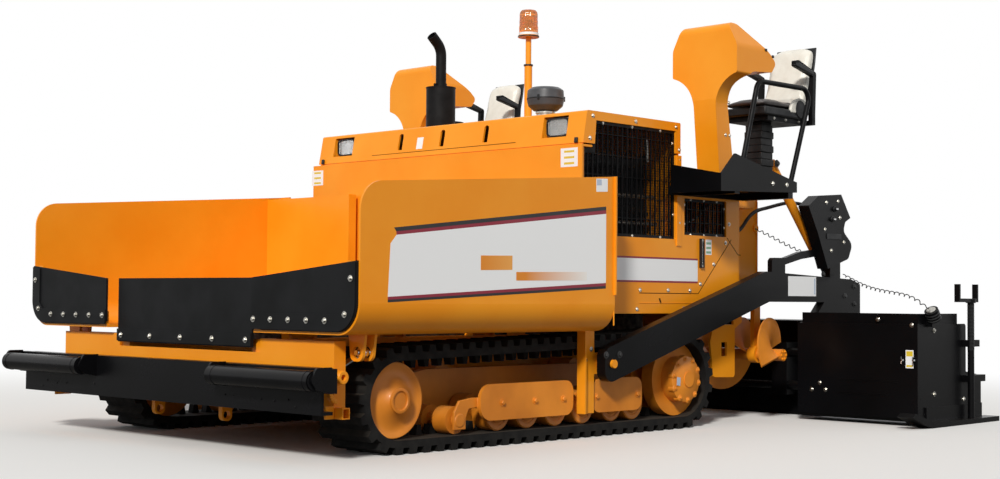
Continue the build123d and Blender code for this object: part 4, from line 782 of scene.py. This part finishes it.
# woven wire behind each grille, and the pipes that show through it
weave = {"pitch": 15, "wire": 1.3, "y": 1148, "layer": 2.6}  # layer is the step from upright to level wires
windows = ((-1407, -2262, 1150, 1649), (-1502, -2262, 1649, 1806), (-2354, -2788, 1182, 1403))
w, pitch = weave["wire"], weave["pitch"]
for s, side in sides:
    shapes = []
    y1, y2 = s * weave["y"], s * (weave["y"] - weave["layer"])
    for front, rear, z1, z2 in windows:
        for x in (front - i * pitch for i in range(1, int((front - rear) / pitch) + 1)):
            shapes.append(box((x - w, x + w), (y1 - w, y1 + w), (z1, z2)))
        for z in (z1 + i * pitch for i in range(1, int((z2 - z1) / pitch) + 1)):
            shapes.append(box((rear, front), (y2 - w, y2 + w), (z - w, z + w)))
    makePiece(f"screenWeave.{side}", screenWire, shapes)
pipes = {
    "coolantPipe": (13, zincSteel, (
        (-1680, 1060, 1402), (-1780, 1060, 1402), (-1900, 1062, 1404), (-2190, 1060, 1404),
    )),
    "returnPipe": (12, zincSteel, (
        (-1560, 1080, 1236), (-1700, 1082, 1238), (-2020, 1080, 1240), (-2190, 1078, 1240),
    )),
    "fillerPipe": (12, zincSteel, ((-2128, 1050, 1760), (-2130, 1050, 1700), (-2136, 1052, 1620))),
    "paintedPost": (15, orangeEnamel, ((-2278, 1060, 1165), (-2278, 1060, 1240), (-2278, 1060, 1395))),
    "fuelHose": (11, hoseRubber, (
        (-2330, 1055, 1390), (-2350, 1060, 1410), (-2390, 1062, 1470), (-2425, 1058, 1500),
    )),
    "upperHose": (26, hoseRubber, (
        (-1560, 1010, 1560), (-1660, 1040, 1590), (-1860, 1050, 1585), (-2060, 1030, 1600),
        (-2200, 980, 1640),
    )),
    "lowerHose": (22, hoseRubber, (
        (-1500, 1020, 1320), (-1620, 1050, 1300), (-1820, 1056, 1320), (-2000, 1030, 1330),
        (-2180, 1000, 1300),
    )),
    "tankLine": (9, zincSteel, (
        (-2420, 1060, 1195), (-2500, 1062, 1262), (-2640, 1060, 1300), (-2760, 1062, 1390),
    )),
}
for name, (radius, material, points) in pipes.items():
    makeCurve(name, points, radius, material, "machine")
    makeCurve(name + ".right", [(x, -y, z) for x, y, z in points], radius, material, "machine")
cooler = {"front": -1480, "rear": -2240, "y": 900, "low": 1000, "top": 1640, "fins": 38, "finPitch": 20}
c = cooler
for s, side in sides:
    y = s * (c["y"] + 40)
    shapes = [box((c["rear"], c["front"]), (s * c["y"], y), (c["low"], c["top"]))]
    for x in (c["rear"] + 10 + i * c["finPitch"] for i in range(c["fins"])):
        shapes.append(box((x, x + 3), (y, y + s * 12), (c["low"] + 20, c["top"] - 20)))
    for z in (c["low"], c["top"] - 30):
        shapes.append(box((c["rear"], c["front"]), (y, y + s * 22), (z, z + 30)))
    makePiece(f"coolerCore.{side}", castIron, shapes)
    makePiece(f"pumpBracket.{side}", orangeEnamel, [
        box((-2890, -2780), (s * 1020, s * 1044), (1150, 1420)),
        box((-2700, -2660), (s * 1010, s * 1040), (1150, 1420)),
    ], bevel=3)
print("screens and pipes made")

# running gear: dished idler, drive cover with bosses round its rim, roller caps and bogie bolts
trackGear = {
    "idler": (0, 1125.3, 270.1), "drive": (-2339, 1195.3, 300.1), "bosses": 10, "bossCircle": 126,
    "rollers": (-751, -983, -1215, -1447, -1703, -1897), "rollerY": 1130.3, "rollerZ": 171,
    "beamBolts": (-725, -983, -1215, -1500, -1870), "beamY": 1192.2,
    "postPins": ((-1380, 440), (-1430, 500), (-1370, 640)), "postY": 1212.3,
    "dish": (
        (0, 0.5), (190, 0.5), (193, 4), (190, 9), (182, 9), (168, 3), (140, 3), (112, 12), (84, 30),
        (66, 46), (64, 50),
    ),
    "cup": ((64, 49), (64, 58), (60, 60), (50, 60), (46, 56), (46, 51.5), (20, 51.5), (0, 53)),
    "cover": (
        (139, -40), (139, 0), (134, 4), (108, 6), (98, 12), (78, 14), (70, 18), (47, 20), (47, 27.2),
        (20, 27.6), (0, 27.8),
    ),
    "boss": ((0, 0), (21, 0), (21, 33), (17, 37), (0, 37)),
    "cap": ((36, 0), (54, 0), (54, 7), (44, 13), (36, 13)),
    "flange": ((70, 0), (90, 0), (92, 3), (90, 5), (70, 3)),
    "label": ((-2262, 262), (-2228, 268), (-2232, 318), (-2268, 312)), "labelFace": 1210.5,
    "bracket": (
        (-392, 100), (-392, 190), (-430, 250), (-520, 262), (-590, 262), (-590, 215), (-500, 205),
        (-478, 160), (-478, 100),
    ),
}
k = trackGear
bossAngles = [math.tau * i / k["bosses"] + 0.2 for i in range(k["bosses"])]
for s, side in sides:
    out = (0, s, 0)
    hub, drive = (Vector((x, s * y, z)) for x, y, z in (k["idler"], k["drive"]))
    rim = [drive + Vector((math.cos(a), 0, math.sin(a))) * k["bossCircle"] for a in bossAngles]
    makePiece(f"idlerDish.{side}", runningGearEnamel,
              [lathe(k["dish"], hub, out, 56), lathe(k["cup"], hub, out, 40)])
    makePiece(f"driveCover.{side}", runningGearEnamel, [lathe(k["cover"], drive, out, 48)] + [
        lathe(k["boss"], p - Vector((0, s * 30, 0)), out, 16) for p in rim
    ])
    makePiece(f"driveCoverBolts.{side}", runningGearEnamel,
              [shape for p in rim for shape in bolt(p + Vector((0, s * 7.2, 0)), out, 8)])
    shapes = []
    for x in k["rollers"]:
        shapes.append(lathe(k["cap"], (x, s * k["rollerY"], k["rollerZ"]), out, 28, closed=True))
        shapes.append(lathe(k["flange"], (x, s * (k["rollerY"] - 0.1), k["rollerZ"]), out, 40, closed=True))
    makePiece(f"rollerCaps.{side}", runningGearEnamel, shapes)
    beamBolts = [(x, s * k["beamY"], 230) for x in k["beamBolts"]]
    addBolts(f"bogieBolts.{side}", beamBolts, out, 13, "machine", runningGearEnamel)
    makePiece(f"smallRollerBracket.{side}", runningGearEnamel, [
        prism(k["bracket"], "y", s * 1150, s * 1166),
        lathe(((0, 0), (38, 0), (38, 30), (32, 35), (0, 35)), (-433, s * 1136, 148), out, 28),
        box((-600, -560), (s * 1150, s * 1170), (205, 262)),
    ], bevel=3)
    addBolts(f"towPostPins.{side}", [(x, s * k["postY"], z) for x, z in k["postPins"]], out, 9)
makeFilm("driveCoverLabel", k["label"], k["labelFace"], paleFilmAndShade, "machine")

# towing ring, hook and square socket at the bumper's ends
hook = {
    "x": 455, "y": 1214.3, "z": 404, "bend": (467, 330), "reach": 42, "half": 11,
    "ring": ((14, 0), (30, 0), (33, 4), (33, 62), (30, 66), (14, 66)),
    "socket": ((418, 424, 206, 260), (458, 464, 206, 260), (424, 458, 206, 212), (424, 458, 254, 260)),
}
(x0, z0), reach = hook["bend"], hook["reach"]
bends = [(x0 + reach * math.sin(math.pi * i / 12), z0 + reach * math.cos(math.pi * i / 12))
         for i in range(-1, 13)]
for s, side in sides:
    y = s * hook["y"]
    shapes = [lathe(hook["ring"], (hook["x"], y, hook["z"]), (0, s, 0), 28, closed=True)]
    for (x1, z1), (x2, z2) in zip(bends, bends[1:]):
        along = Vector((x2 - x1, 0, z2 - z1)).normalized()
        across = Vector((along.z, 0, -along.x)) * hook["half"]
        a, b = Vector((x1, y + s * 14, z1)), Vector((x2, y + s * 14, z2))
        shapes.append(slab([a + across, b + across, b - across, a - across], (0, s * 26, 0)))
    for x1, x2, z1, z2 in hook["socket"]:
        shapes.append(box((x1, x2), (y, y + s * 70), (z1, z2)))
    shapes.append(box((466, 520), (y, y + s * 12), (206, 268)))
    makePiece(f"towHook.{side}", orangeEnamel, shapes, bevel=2)

# seams and end caps of the push rollers
roller = {"x": 722, "z": 400, "seamY": (640, 1345), "endY": 1385.2}
for s, side in sides:
    seam, cap = ((48.2, 0), (50, 1), (50, 9), (48.2, 10)), ((0, 0), (40, 0), (43, 2), (43, 6), (0, 8))
    makePiece(f"pushRollerBands.{side}", blackEnamel, [
        lathe(seam, (roller["x"], s * y, roller["z"]), (0, s, 0), 36, closed=True) for y in roller["seamY"]
    ] + [lathe(cap, (roller["x"], s * roller["endY"], roller["z"]), (0, s, 0), 28)], f"push_roller_{side}")
print("running gear and hooks made")

# seats: crowned pads grown by a short cloth run, on a black shell with cream side bolsters
seat = {
    "x": -3040, "y": 1300, "z": 2035,
    "skin": 0.006, "pressure": 4.0, "cap": 0.012,  # m between points, cloth pressure, most metres of swelling
    "cushion": (
        (255, -34), (262, -18), (256, 0), (120, 6), (-40, 5), (-150, 6), (-180, -2), (-186, -18),
        (-150, -24), (100, -30),
    ),
    "back": (
        (-196, -22), (-184, 20), (-212, 90), (-238, 180), (-262, 270), (-290, 370), (-312, 408),
        (-340, 405), (-348, 370), (-322, 260), (-292, 150), (-262, 50), (-246, -10), (-222, -34),
    ),
    "behind": (
        (-250, -40), (-262, 0), (-300, 140), (-340, 300), (-356, 398), (-366, 398), (-352, 300),
        (-312, 130), (-276, -10), (-262, -60), (-190, -62), (-190, -48),
    ),
    "bolster": (
        (-20, -60), (-30, -12), (-70, 24), (-120, 42), (-170, 40), (-215, 10), (-236, -40), (-236, -60),
    ),
    "armPad": ((-238, 222), (-60, 262), (-22, 252), (-16, 236), (-40, 228), (-226, 192)),
}


def padSkin(outline, half, corner):
    # closed pad: an outline in X and Z swept across the seat, its ends drawn in at the corners
    bm = bmesh.new()
    rings = []
    middle = Vector((sum(p[0] for p in outline) / len(outline), 0, sum(p[1] for p in outline) / len(outline)))
    for share in (-1, -0.93, -0.6, -0.2, 0.2, 0.6, 0.93, 1):
        drawn = 1 - corner * max(0, abs(share) - 0.6) / 0.4
        rings.append([
            bm.verts.new((middle.x + (x - middle.x) * drawn, share * half, middle.z + (z - middle.z) * drawn))
            for x, z in outline
        ])
    for a, b in zip(rings, rings[1:]):
        bridge(bm, a, b)
    bm.faces.new(rings[0][::-1])
    bm.faces.new(rings[-1])
    for vertex in bm.verts:
        vertex.co = at(vertex.co.x + seat["x"], vertex.co.y + seat["y"], vertex.co.z + seat["z"])
    bmesh.ops.recalc_face_normals(bm, faces=bm.faces)
    return bm


def applyModifier(piece, name, kind, **settings):
    bpy.context.view_layer.objects.active = piece
    modifier = piece.modifiers.new(name, kind)
    for key, value in settings.items():
        setattr(modifier, key, value)
    bpy.ops.object.modifier_apply(modifier=name)


def swell(piece):
    # short cloth run that swells the pad from its underside
    applyModifier(piece, "evenSkin", "REMESH", mode="VOXEL", voxel_size=seat["skin"])
    rest = [v.co.copy() for v in piece.data.vertices]
    group = piece.vertex_groups.new(name="underside")
    floor = min(v.z for v in rest)
    group.add([i for i, v in enumerate(rest) if v.z < floor + 0.012], 1.0, "REPLACE")
    cloth = piece.modifiers.new("swelling", "CLOTH")
    cloth.settings.use_pressure = True
    cloth.settings.uniform_pressure_force = seat["pressure"]
    cloth.settings.vertex_group_mass = "underside"
    cloth.settings.effector_weights.gravity = 0
    cloth.point_cache.frame_start, cloth.point_cache.frame_end = 1, 20
    for step in range(1, 21):
        bpy.context.scene.frame_set(step)
    bpy.ops.object.modifier_apply(modifier=cloth.name)
    bpy.context.scene.frame_set(1)
    for v, start in zip(piece.data.vertices, rest):
        move = v.co - start
        if move.length > seat["cap"]:
            v.co = start + move.normalized() * seat["cap"]
    piece.vertex_groups.clear()
    piece.data.shade_smooth()


def makePads(name, outline, half, corner, material, node):
    bm = padSkin(outline, half, corner)
    mesh = bpy.data.meshes.new(name)
    bm.to_mesh(mesh)
    bm.free()
    mesh.shade_smooth()
    mesh.materials.append(material)
    pad = bpy.data.objects.new(name + ".left", mesh)
    link(pad)
    applyModifier(pad, "roundSkin", "SUBSURF", levels=2, render_levels=2)
    swell(pad)
    mirrored = pad.data.copy()
    mirrored.transform(Matrix.Diagonal((1, -1, 1, 1)))
    mirrored.flip_normals()
    twin = bpy.data.objects.new(name + ".right", mirrored)
    link(twin)
    for piece in (pad, twin):
        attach(piece, "machine")
        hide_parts(node)


makePads("seatCushion", seat["cushion"], 150, 0.16, cushionVinyl, "seat_cushions")
makePads("seatBack", seat["back"], 158, 0.14, seatVinyl, "seat_shells")
print("seat pads made")


def seatPrism(part, y1, y2):
    return prism([(seat["x"] + a, seat["z"] + b) for a, b in seat[part]], "y", y1, y2)


for s, side in sides:
    x0, y0, z0 = seat["x"], s * seat["y"], seat["z"]
    makePiece(f"seatShellBack.{side}", blackPlastic, [seatPrism("behind", y0 - 150, y0 + 150)], bevel=4)
    makePiece(f"seatTray.{side}", blackPlastic,
              [box((x0 - 200, x0 + 258), (y0 - 172, y0 + 172), (z0 - 94, z0 - 42))], bevel=10)
    for way, end in ((-1, "in"), (1, "out")):
        edge, pivot = y0 + way * 152, ((0, 0), (58, 0), (54, 5), (30, 8), (0, 9))
        makePiece(f"seatBolster.{side}.{end}", seatVinyl,
                  [seatPrism("bolster", edge, edge + way * 24)], bevel=9)
        makePiece(f"seatPivotCover.{side}.{end}", blackPlastic,
                  [lathe(pivot, (x0 - 132, edge + way * 22, z0 - 30), (0, way, 0), 32)])
        makePiece(f"armPad.{side}.{end}", blackPlastic,
                  [seatPrism("armPad", *sorted((y0 + way * 176, y0 + way * 214)))], bevel=10)
    # ribbed boot of the suspension pedestal
    shapes = []
    for i in range(9):
        z, grow = 1500 + i * 44, 5 * (i % 2)
        shapes.append(box((x0 + 12 - grow, x0 + 138 + grow), (y0 - 62 - grow, y0 + 62 + grow), (z, z + 44.2)))
    makePiece(f"pedestalBoot.{side}", hoseRubber, shapes, bevel=5)
    frameBolts = [(x0 + a, y0 + way * 150.3, z0 - 108) for a in (-150, 0, 130) for way in (-1, 1)]
    addBolts(f"seatFrameBolts.{side}", frameBolts, (0, s, 0), 6)
print("seats made")

# consoles: dark fascia on the slope that faces the seat, dials, switches, levers, edge clips and stem bolts
console = {
    "y": 1305, "high": (-2460, 2462), "low": (-2733, 2292), "fascia": (-2492, -2700, 150),
    "dials": ((-2500, 22), (-2560, -20), (-2620, 24)), "levers": ((-2560, 110), (-2600, -110), (-2660, 70)),
    "switches": (-2530, -24, 6, -70),  # X of the first, step, count and Y
    "clips": ((-2676, 2316), (-2752, 2284)),
    "stemBolts": ((-2510, 1990), (-2476, 1790), (-2520, 1790)), "stemY": 1387.3,
    "rim": ((17, 0), (24, 0), (24, 5), (20, 7), (17, 5)),
    "switch": ((0, 0), (6, 0), (6, 4), (2, 4), (2.4, 15), (0, 16)),
    "lever": ((0, 0), (14, 0), (10, 8), (4, 12), (4, 24), (9, 28), (11, 36), (8, 43), (0, 45)),
}
c = console
slope = (c["high"][1] - c["low"][1]) / (c["high"][0] - c["low"][0])
faceUp = Vector((-slope, 0, 1)).normalized()


def onConsole(s, x, across, lift):
    # a point on the console's sloping face
    return Vector((x, s * c["y"] + across, c["high"][1] + (x - c["high"][0]) * slope + lift))


for s, side in sides:
    x1, x2, half = c["fascia"]
    edges = ((x1, -half), (x1, half), (x2, half), (x2, -half))
    corners = [onConsole(s, x, across, 0.4) for x, across in edges]
    makePiece(f"consoleFascia.{side}", blackPlastic, [slab(corners, (0, 0, 2))], bevel=1)
    start, step, count, across = c["switches"]
    makePiece(f"consoleDials.{side}", zincSteel, [
        lathe(c["rim"], onConsole(s, x, y, 2.6), faceUp, 28, closed=True) for x, y in c["dials"]
    ] + [lathe(c["switch"], onConsole(s, start + step * i, across, 2.6), faceUp, 10) for i in range(count)])
    makePiece(f"consoleDialFaces.{side}", whiteFilm,
              [rod(17, 2.5, onConsole(s, x, y, 2.6), faceUp, 28) for x, y in c["dials"]])
    makePiece(f"consoleLevers.{side}", blackPlastic,
              [lathe(c["lever"], onConsole(s, x, y, 2.4), faceUp, 18) for x, y in c["levers"]])
    stemBolts = [(x, s * c["stemY"], z) for x, z in c["stemBolts"]]
    addBolts(f"consoleStemBolts.{side}", stemBolts, (0, s, 0), 7)
    makePiece(f"consoleClips.{side}", blackPlastic, [
        box((x - 10, x + 10), sorted((s * 1542, s * 1550)), (z - 6, z + 10)) for x, z in c["clips"]
    ], bevel=2)
print("consoles made")

# platforms: raised tread, bolts and a pedal beside each console
tread = {
    "x": -2240, "y": 1222, "z": 1470.2, "pitch": (46, 54), "count": (16, 6),
    "rise": 2.2, "length": 26, "width": 7,
}
t = tread
for s, side in sides:
    shapes = []
    for i in range(t["count"][0]):
        for j in range(t["count"][1]):
            x, y = t["x"] - i * t["pitch"][0], s * (t["y"] + j * t["pitch"][1] + (i % 2) * 12)
            if abs(abs(y) - 1305) < 120 and (x > -2640 or x < -2890):
                continue  # under the console's stem and the seat's foot
            a, b = (t["length"] / 2, t["width"] / 2) if (i + j) % 2 else (t["width"] / 2, t["length"] / 2)
            corners = [(*corner, t["z"]) for corner in rect(x - a, x + a, y - b, y + b)]
            shapes.append(slab(corners, (0, 0, t["rise"])))
    makePiece(f"platformTread.{side}", blackEnamel, shapes, bevel=1)
    edgeBolts = [(x, s * 1560.2, 1500) for x in (-2731, -2886)]
    addBolts(f"platformBolts.{side}", edgeBolts, (0, s, 0), 9)
    makePiece(f"footPedal.{side}", blackEnamel, [
        lathe(((0, 0), (8, 0), (8, 74), (0, 76)), (-2905, s * 1480, 1472), (-0.5, 0.1 * s, 0.9), 14),
        box((-2975, -2915), (s * 1480 - 28, s * 1480 + 28), (1536, 1550)),
    ], bevel=3)
print("platforms made")

# extensions' front boards: bolts, slide grooves and wing nuts, with the jack's thread and collar
board = {
    "x": -3489.7, "grooves": ((278, 1563, 1979), (192, 1548, 1915)), "nutY": (2020, 2098), "nutZ": 415,
    "bolts": ((1844, 668), (2080, 635), (1418, 249), (1357, 203), (1460, 205)),
    "gateBolts": ((-4093, 153), (-3700, 600), (-3700, 200), (-4200, 600)), "jack": (-4103, 2167),
    "threads": 34,
}
x = board["x"]
for s, side in sides:
    body = f"extension_{side}"
    addBolts(f"boardBolts.{side}", [(x, s * y, z) for y, z in board["bolts"]], forward, 9, body)
    makePiece(f"boardGrooves.{side}", blackEnamel, [
        box((x, x + 2.5), sorted((s * y1, s * y2)), (z + d, z + d + 3))
        for z, y1, y2 in board["grooves"] for d in (-6, 3)
    ], body, bevel=0.8)
    shapes = []
    z = board["nutZ"]
    for y in (s * y for y in board["nutY"]):
        shapes.append(lathe(((0, 0), (9, 0), (9, 8), (6, 12), (5, 22), (0, 22)), (x, y, z), forward, 12))
        for lift in (-22, 22):
            wing = ((10, 0), (20, 0), (26, lift), (14, lift))
            shapes.append(slab([(x + a, y - 3, z + b) for a, b in wing], (0, 6, 0)))
    makePiece(f"boardWingNuts.{side}", chromeRod, shapes, body)
    jackX, jackY = board["jack"][0], s * board["jack"][1]
    makePiece(f"jackThread.{side}", castIron, [
        lathe(((21.2, 0), (23.4, 2.2), (21.2, 4.4)), (jackX, jackY, 470 + i * 9), up, 20, closed=True)
        for i in range(board["threads"])
    ], body)
    makePiece(f"jackCollar.{side}", blackEnamel, [band(24, 32, 26, (jackX, jackY, 775), up, 24)], body)
    addBolts(f"gateBolts.{side}", [(a, s * 2120.3, z) for a, z in board["gateBolts"]], (0, s, 0), 10, body)
makePiece("boardLabel", whiteFilm, [box((x, x + 0.6), (2038, 2092), (366, 479))], "extension_left")
makePiece("boardLabel.bars", yellowFilm,
          [box((x + 0.6, x + 1), (2043, 2087), (z1, z2)) for z1, z2 in ((440, 472), (374, 386))],
          "extension_left")

# ribs and cap of the edge sensor, on its tilted axis
sensor = {"centre": (-3625, 2152, 700), "axis": (0.6, 0, 0.8), "radius": 44, "ribs": (-30, -10, 10)}
r = sensor["radius"]
ribs = [((r + 0.2, h), (r + 2, h + 1), (r + 2, h + 7), (r + 0.2, h + 8)) for h in sensor["ribs"]]
makePiece("sensorBands", castIron,
          [lathe(rib, sensor["centre"], sensor["axis"], 36, closed=True) for rib in ribs], "extension_left")
cap = ((0, 36.3), (30, 36.3), (30, 40), (22, 43), (0, 43))
makePiece("sensorCap", zincSteel, [lathe(cap, sensor["centre"], sensor["axis"], 28)], "extension_left")

# depth controls: bolts on the side, two knobs with pointers and a cover plate; bolts of arms and augers
control = {
    "y": 1340.3,
    "bolts": ((-3700, 1440), (-3845, 1455), (-3680, 1260), (-3760, 1120), (-3920, 1180), (-3870, 1345)),
    "knobs": ((-3800, 1400), (-3770, 1330)), "plate": ((-3880, -3700), (1196, 1232)),
    "armBolts": ((-3979, 815), (-4100, 880), (-4100, 760), (-3700, 960), (-1560, 470), (-1440, 470)),
    "armY": 1312.3, "auger": (-3220, 1318.3, 430), "augerRing": 26,
}
knob = ((0, 0), (20, 0), (20, 5), (14, 7), (14, 20), (11, 23), (0, 23))
for s, side in sides:
    out, y = (0, s, 0), s * control["y"]
    addBolts(f"controlBolts.{side}", [(x, y, z) for x, z in control["bolts"]], out, 8, "screed")
    makePiece(f"controlKnobs.{side}", blackPlastic, [
        lathe(knob, (x, y, z), out, 22) for x, z in control["knobs"]
    ] + [box(control["plate"][0], sorted((y, y + s * 5.7)), control["plate"][1])], "screed", bevel=1)
    makePiece(f"controlPointers.{side}", whiteFilm, [
        box((x - 12, x + 12), sorted((y + s * 23.2, y + s * 24.7)), (z - 4, z + 4))
        for x, z in control["knobs"]
    ], "screed")
    armBolts = [(x, s * control["armY"], z) for x, z in control["armBolts"]]
    addBolts(f"armBolts.{side}", armBolts, out, 13, "screed", castIron)
    (x, y, z), r = control["auger"], control["augerRing"]
    ring = [(x + r * math.cos(math.tau * i / 6), s * y, z + r * math.sin(math.tau * i / 6)) for i in range(6)]
    addBolts(f"augerBolts.{side}", ring, out, 6, f"auger_{side}", orangeEnamel)
print("extension and control details made")

# guard rods, pins and bolts at the back of the machine
rear = {
    "rod": (-3400, 985, 800), "clamps": (860, 1380), "liftPin": (-3250, 1245.3, 1675),
    "boltX": (-2990, -3160, -3330), "boltY": 1000.3, "boltZ": (840, 1425),
}
for s, side in sides:
    x, y, z = rear["rod"]
    y *= s
    makePiece(f"guardRod.{side}", greyPlastic, [rod(9, 640, (x, y, z), up, 14)] + [
        box((x - 9, x + 21), (y - 12, y + 12), (z, z + 20)) for z in rear["clamps"]
    ], bevel=1)
    housing = [(x, s * rear["boltY"], z) for x in rear["boltX"] for z in rear["boltZ"]]
    addBolts(f"housingBolts.{side}", housing, (0, s, 0), 10)
    x, y, z = rear["liftPin"]
    addBolts(f"liftPins.{side}", [(x, s * y, z)], (0, s, 0), 16, "machine", castIron)

# side links and pins along the conveyor's chains, in pairs on each side of a chain
chain = {
    "pitch": 76, "z": (583.3, 603.3), "front": 380, "count": 20, "lines": ((110, 134), (500, 524)),
    "plate": 3, "half": 32,
}
z1, z2 = chain["z"]
for s, side in sides:
    shapes = []
    for x in (chain["front"] - i * chain["pitch"] for i in range(chain["count"])):
        for inner, outer in chain["lines"]:
            for y in (inner - 3.5, outer + 0.5):
                width = sorted((s * y, s * (y + chain["plate"])))
                shapes.append(box((x - chain["half"], x + chain["half"]), width, (z1, z2)))
            pin = ((0, inner - 7), (5, inner - 7), (5, outer + 7), (0, outer + 7))
            shapes.append(lathe(pin, (x, 0, (z1 + z2) / 2), (0, s, 0), 10))
    makePiece(f"conveyorChains.{side}", conveyorSteel, shapes)
print("rear details and chains made")

# welds along the wings' rear plates and the rear housing's corners, as low beads of overlapping ripples
weld = {"pitch": 9, "bead": ((0, -7), (3.6, -5), (4.4, 0), (3.6, 5), (0, 7))}
seamsOfWeld = (("wing_left", -1324, 1462, 640, 1452), ("wing_right", -1324, -1462, 640, 1452),
               ("machine", -3379, 1003, 800, 1460), ("machine", -3379, -1003, 800, 1460))
for n, (body, x, y, z1, z2) in enumerate(seamsOfWeld):
    steps = int((z2 - z1) / weld["pitch"])
    makePiece(f"weld{n}", orangeEnamel, [
        lathe(weld["bead"], (x, y, z1 + (z2 - z1) * (i + 0.5) / steps), up, 8) for i in range(steps)
    ], body)

# floor and light: a broad sun from ahead and to the left, an even pale sky and a floor that gives back little
studio = {
    "floorSize": 60.0, "nearRadius": 3.4, "farRadius": 9.0,  # m; it fades to white between the radii
    "sun": 2.75, "sunAngle": 7, "sunAhead": (-0.74, -0.45, -0.50), "sky": 0.42,
}


def makeFloor():
    size = studio["floorSize"]
    mesh = bpy.data.meshes.new("Floor")
    corners = [(*c, 0) for c in rect(-size, size, -size, size)]
    mesh.from_pydata(corners, [], [(0, 1, 2, 3)])
    floor = bpy.data.objects.new("Floor", mesh)
    link(floor)
    material = bpy.data.materials.new("paleStudioFloor")
    material.use_nodes = True
    tree = material.node_tree
    tree.nodes.clear()
    where = addNode(tree, "TexCoord")
    flat = addNode(tree, "VectorMath", {0: where.outputs["Object"], 1: (1, 1, 0)}, operation="MULTIPLY")
    far = addNode(tree, "VectorMath", {0: flat.outputs["Vector"]}, operation="LENGTH")
    fade = addNode(tree, "MapRange", {
        "Value": far.outputs["Value"], "From Min": studio["nearRadius"], "From Max": studio["farRadius"],
    }, interpolation_type="SMOOTHSTEP")
    rays = addNode(tree, "LightPath")
    tone = addNode(tree, "Mix", {
        "Factor": rays.outputs["Is Camera Ray"], 6: srgb("8F8E8B"), 7: srgb("FBFAF8"),
    }, data_type="RGBA")
    diffuse = addNode(tree, "BsdfDiffuse", {"Color": tone.outputs[2]})
    glow = addNode(tree, "Emission", {"Color": (1, 1, 1, 1), "Strength": 1.0})
    seen = addNode(tree, "Math", {
        0: rays.outputs["Is Camera Ray"], 1: fade.outputs["Result"],
    }, operation="MULTIPLY")
    mix = addNode(tree, "MixShader", {
        0: seen.outputs["Value"], 1: diffuse.outputs["BSDF"], 2: glow.outputs["Emission"],
    })
    addNode(tree, "OutputMaterial", {"Surface": mix.outputs["Shader"]})
    mesh.materials.append(material)


def makeLight():
    world = bpy.data.worlds.new("Studio")
    bpy.context.scene.world = world
    world.use_nodes = True
    tree = world.node_tree
    tree.nodes.clear()
    rays = addNode(tree, "LightPath")
    seen = addNode(tree, "Math", {
        0: rays.outputs["Is Camera Ray"], 1: rays.outputs["Is Glossy Ray"],
    }, operation="MAXIMUM")
    seen = addNode(tree, "Math", {
        0: seen.outputs["Value"], 1: rays.outputs["Is Transmission Ray"],
    }, operation="MAXIMUM")
    soft = addNode(tree, "Background", {"Color": srgb("F3F6FA"), "Strength": studio["sky"]})
    white = addNode(tree, "Background", {"Color": (1, 1, 1, 1), "Strength": 1.0})
    mix = addNode(tree, "MixShader", {
        0: seen.outputs["Value"], 1: soft.outputs["Background"], 2: white.outputs["Background"],
    })
    addNode(tree, "OutputWorld", {"Surface": mix.outputs["Shader"]})
    sun = bpy.data.objects.new("Sun", bpy.data.lights.new("Sun", "SUN"))
    sun.data.energy = studio["sun"]
    sun.data.angle = math.radians(studio["sunAngle"])
    sun.data.color = (1, 0.97, 0.92)
    sun.rotation_euler = Vector(studio["sunAhead"]).to_track_quat("-Z", "Y").to_euler()
    link(sun)


makeFloor()
makeLight()
bpy.context.scene.view_settings.view_transform = "Standard"
print("floor and light made")
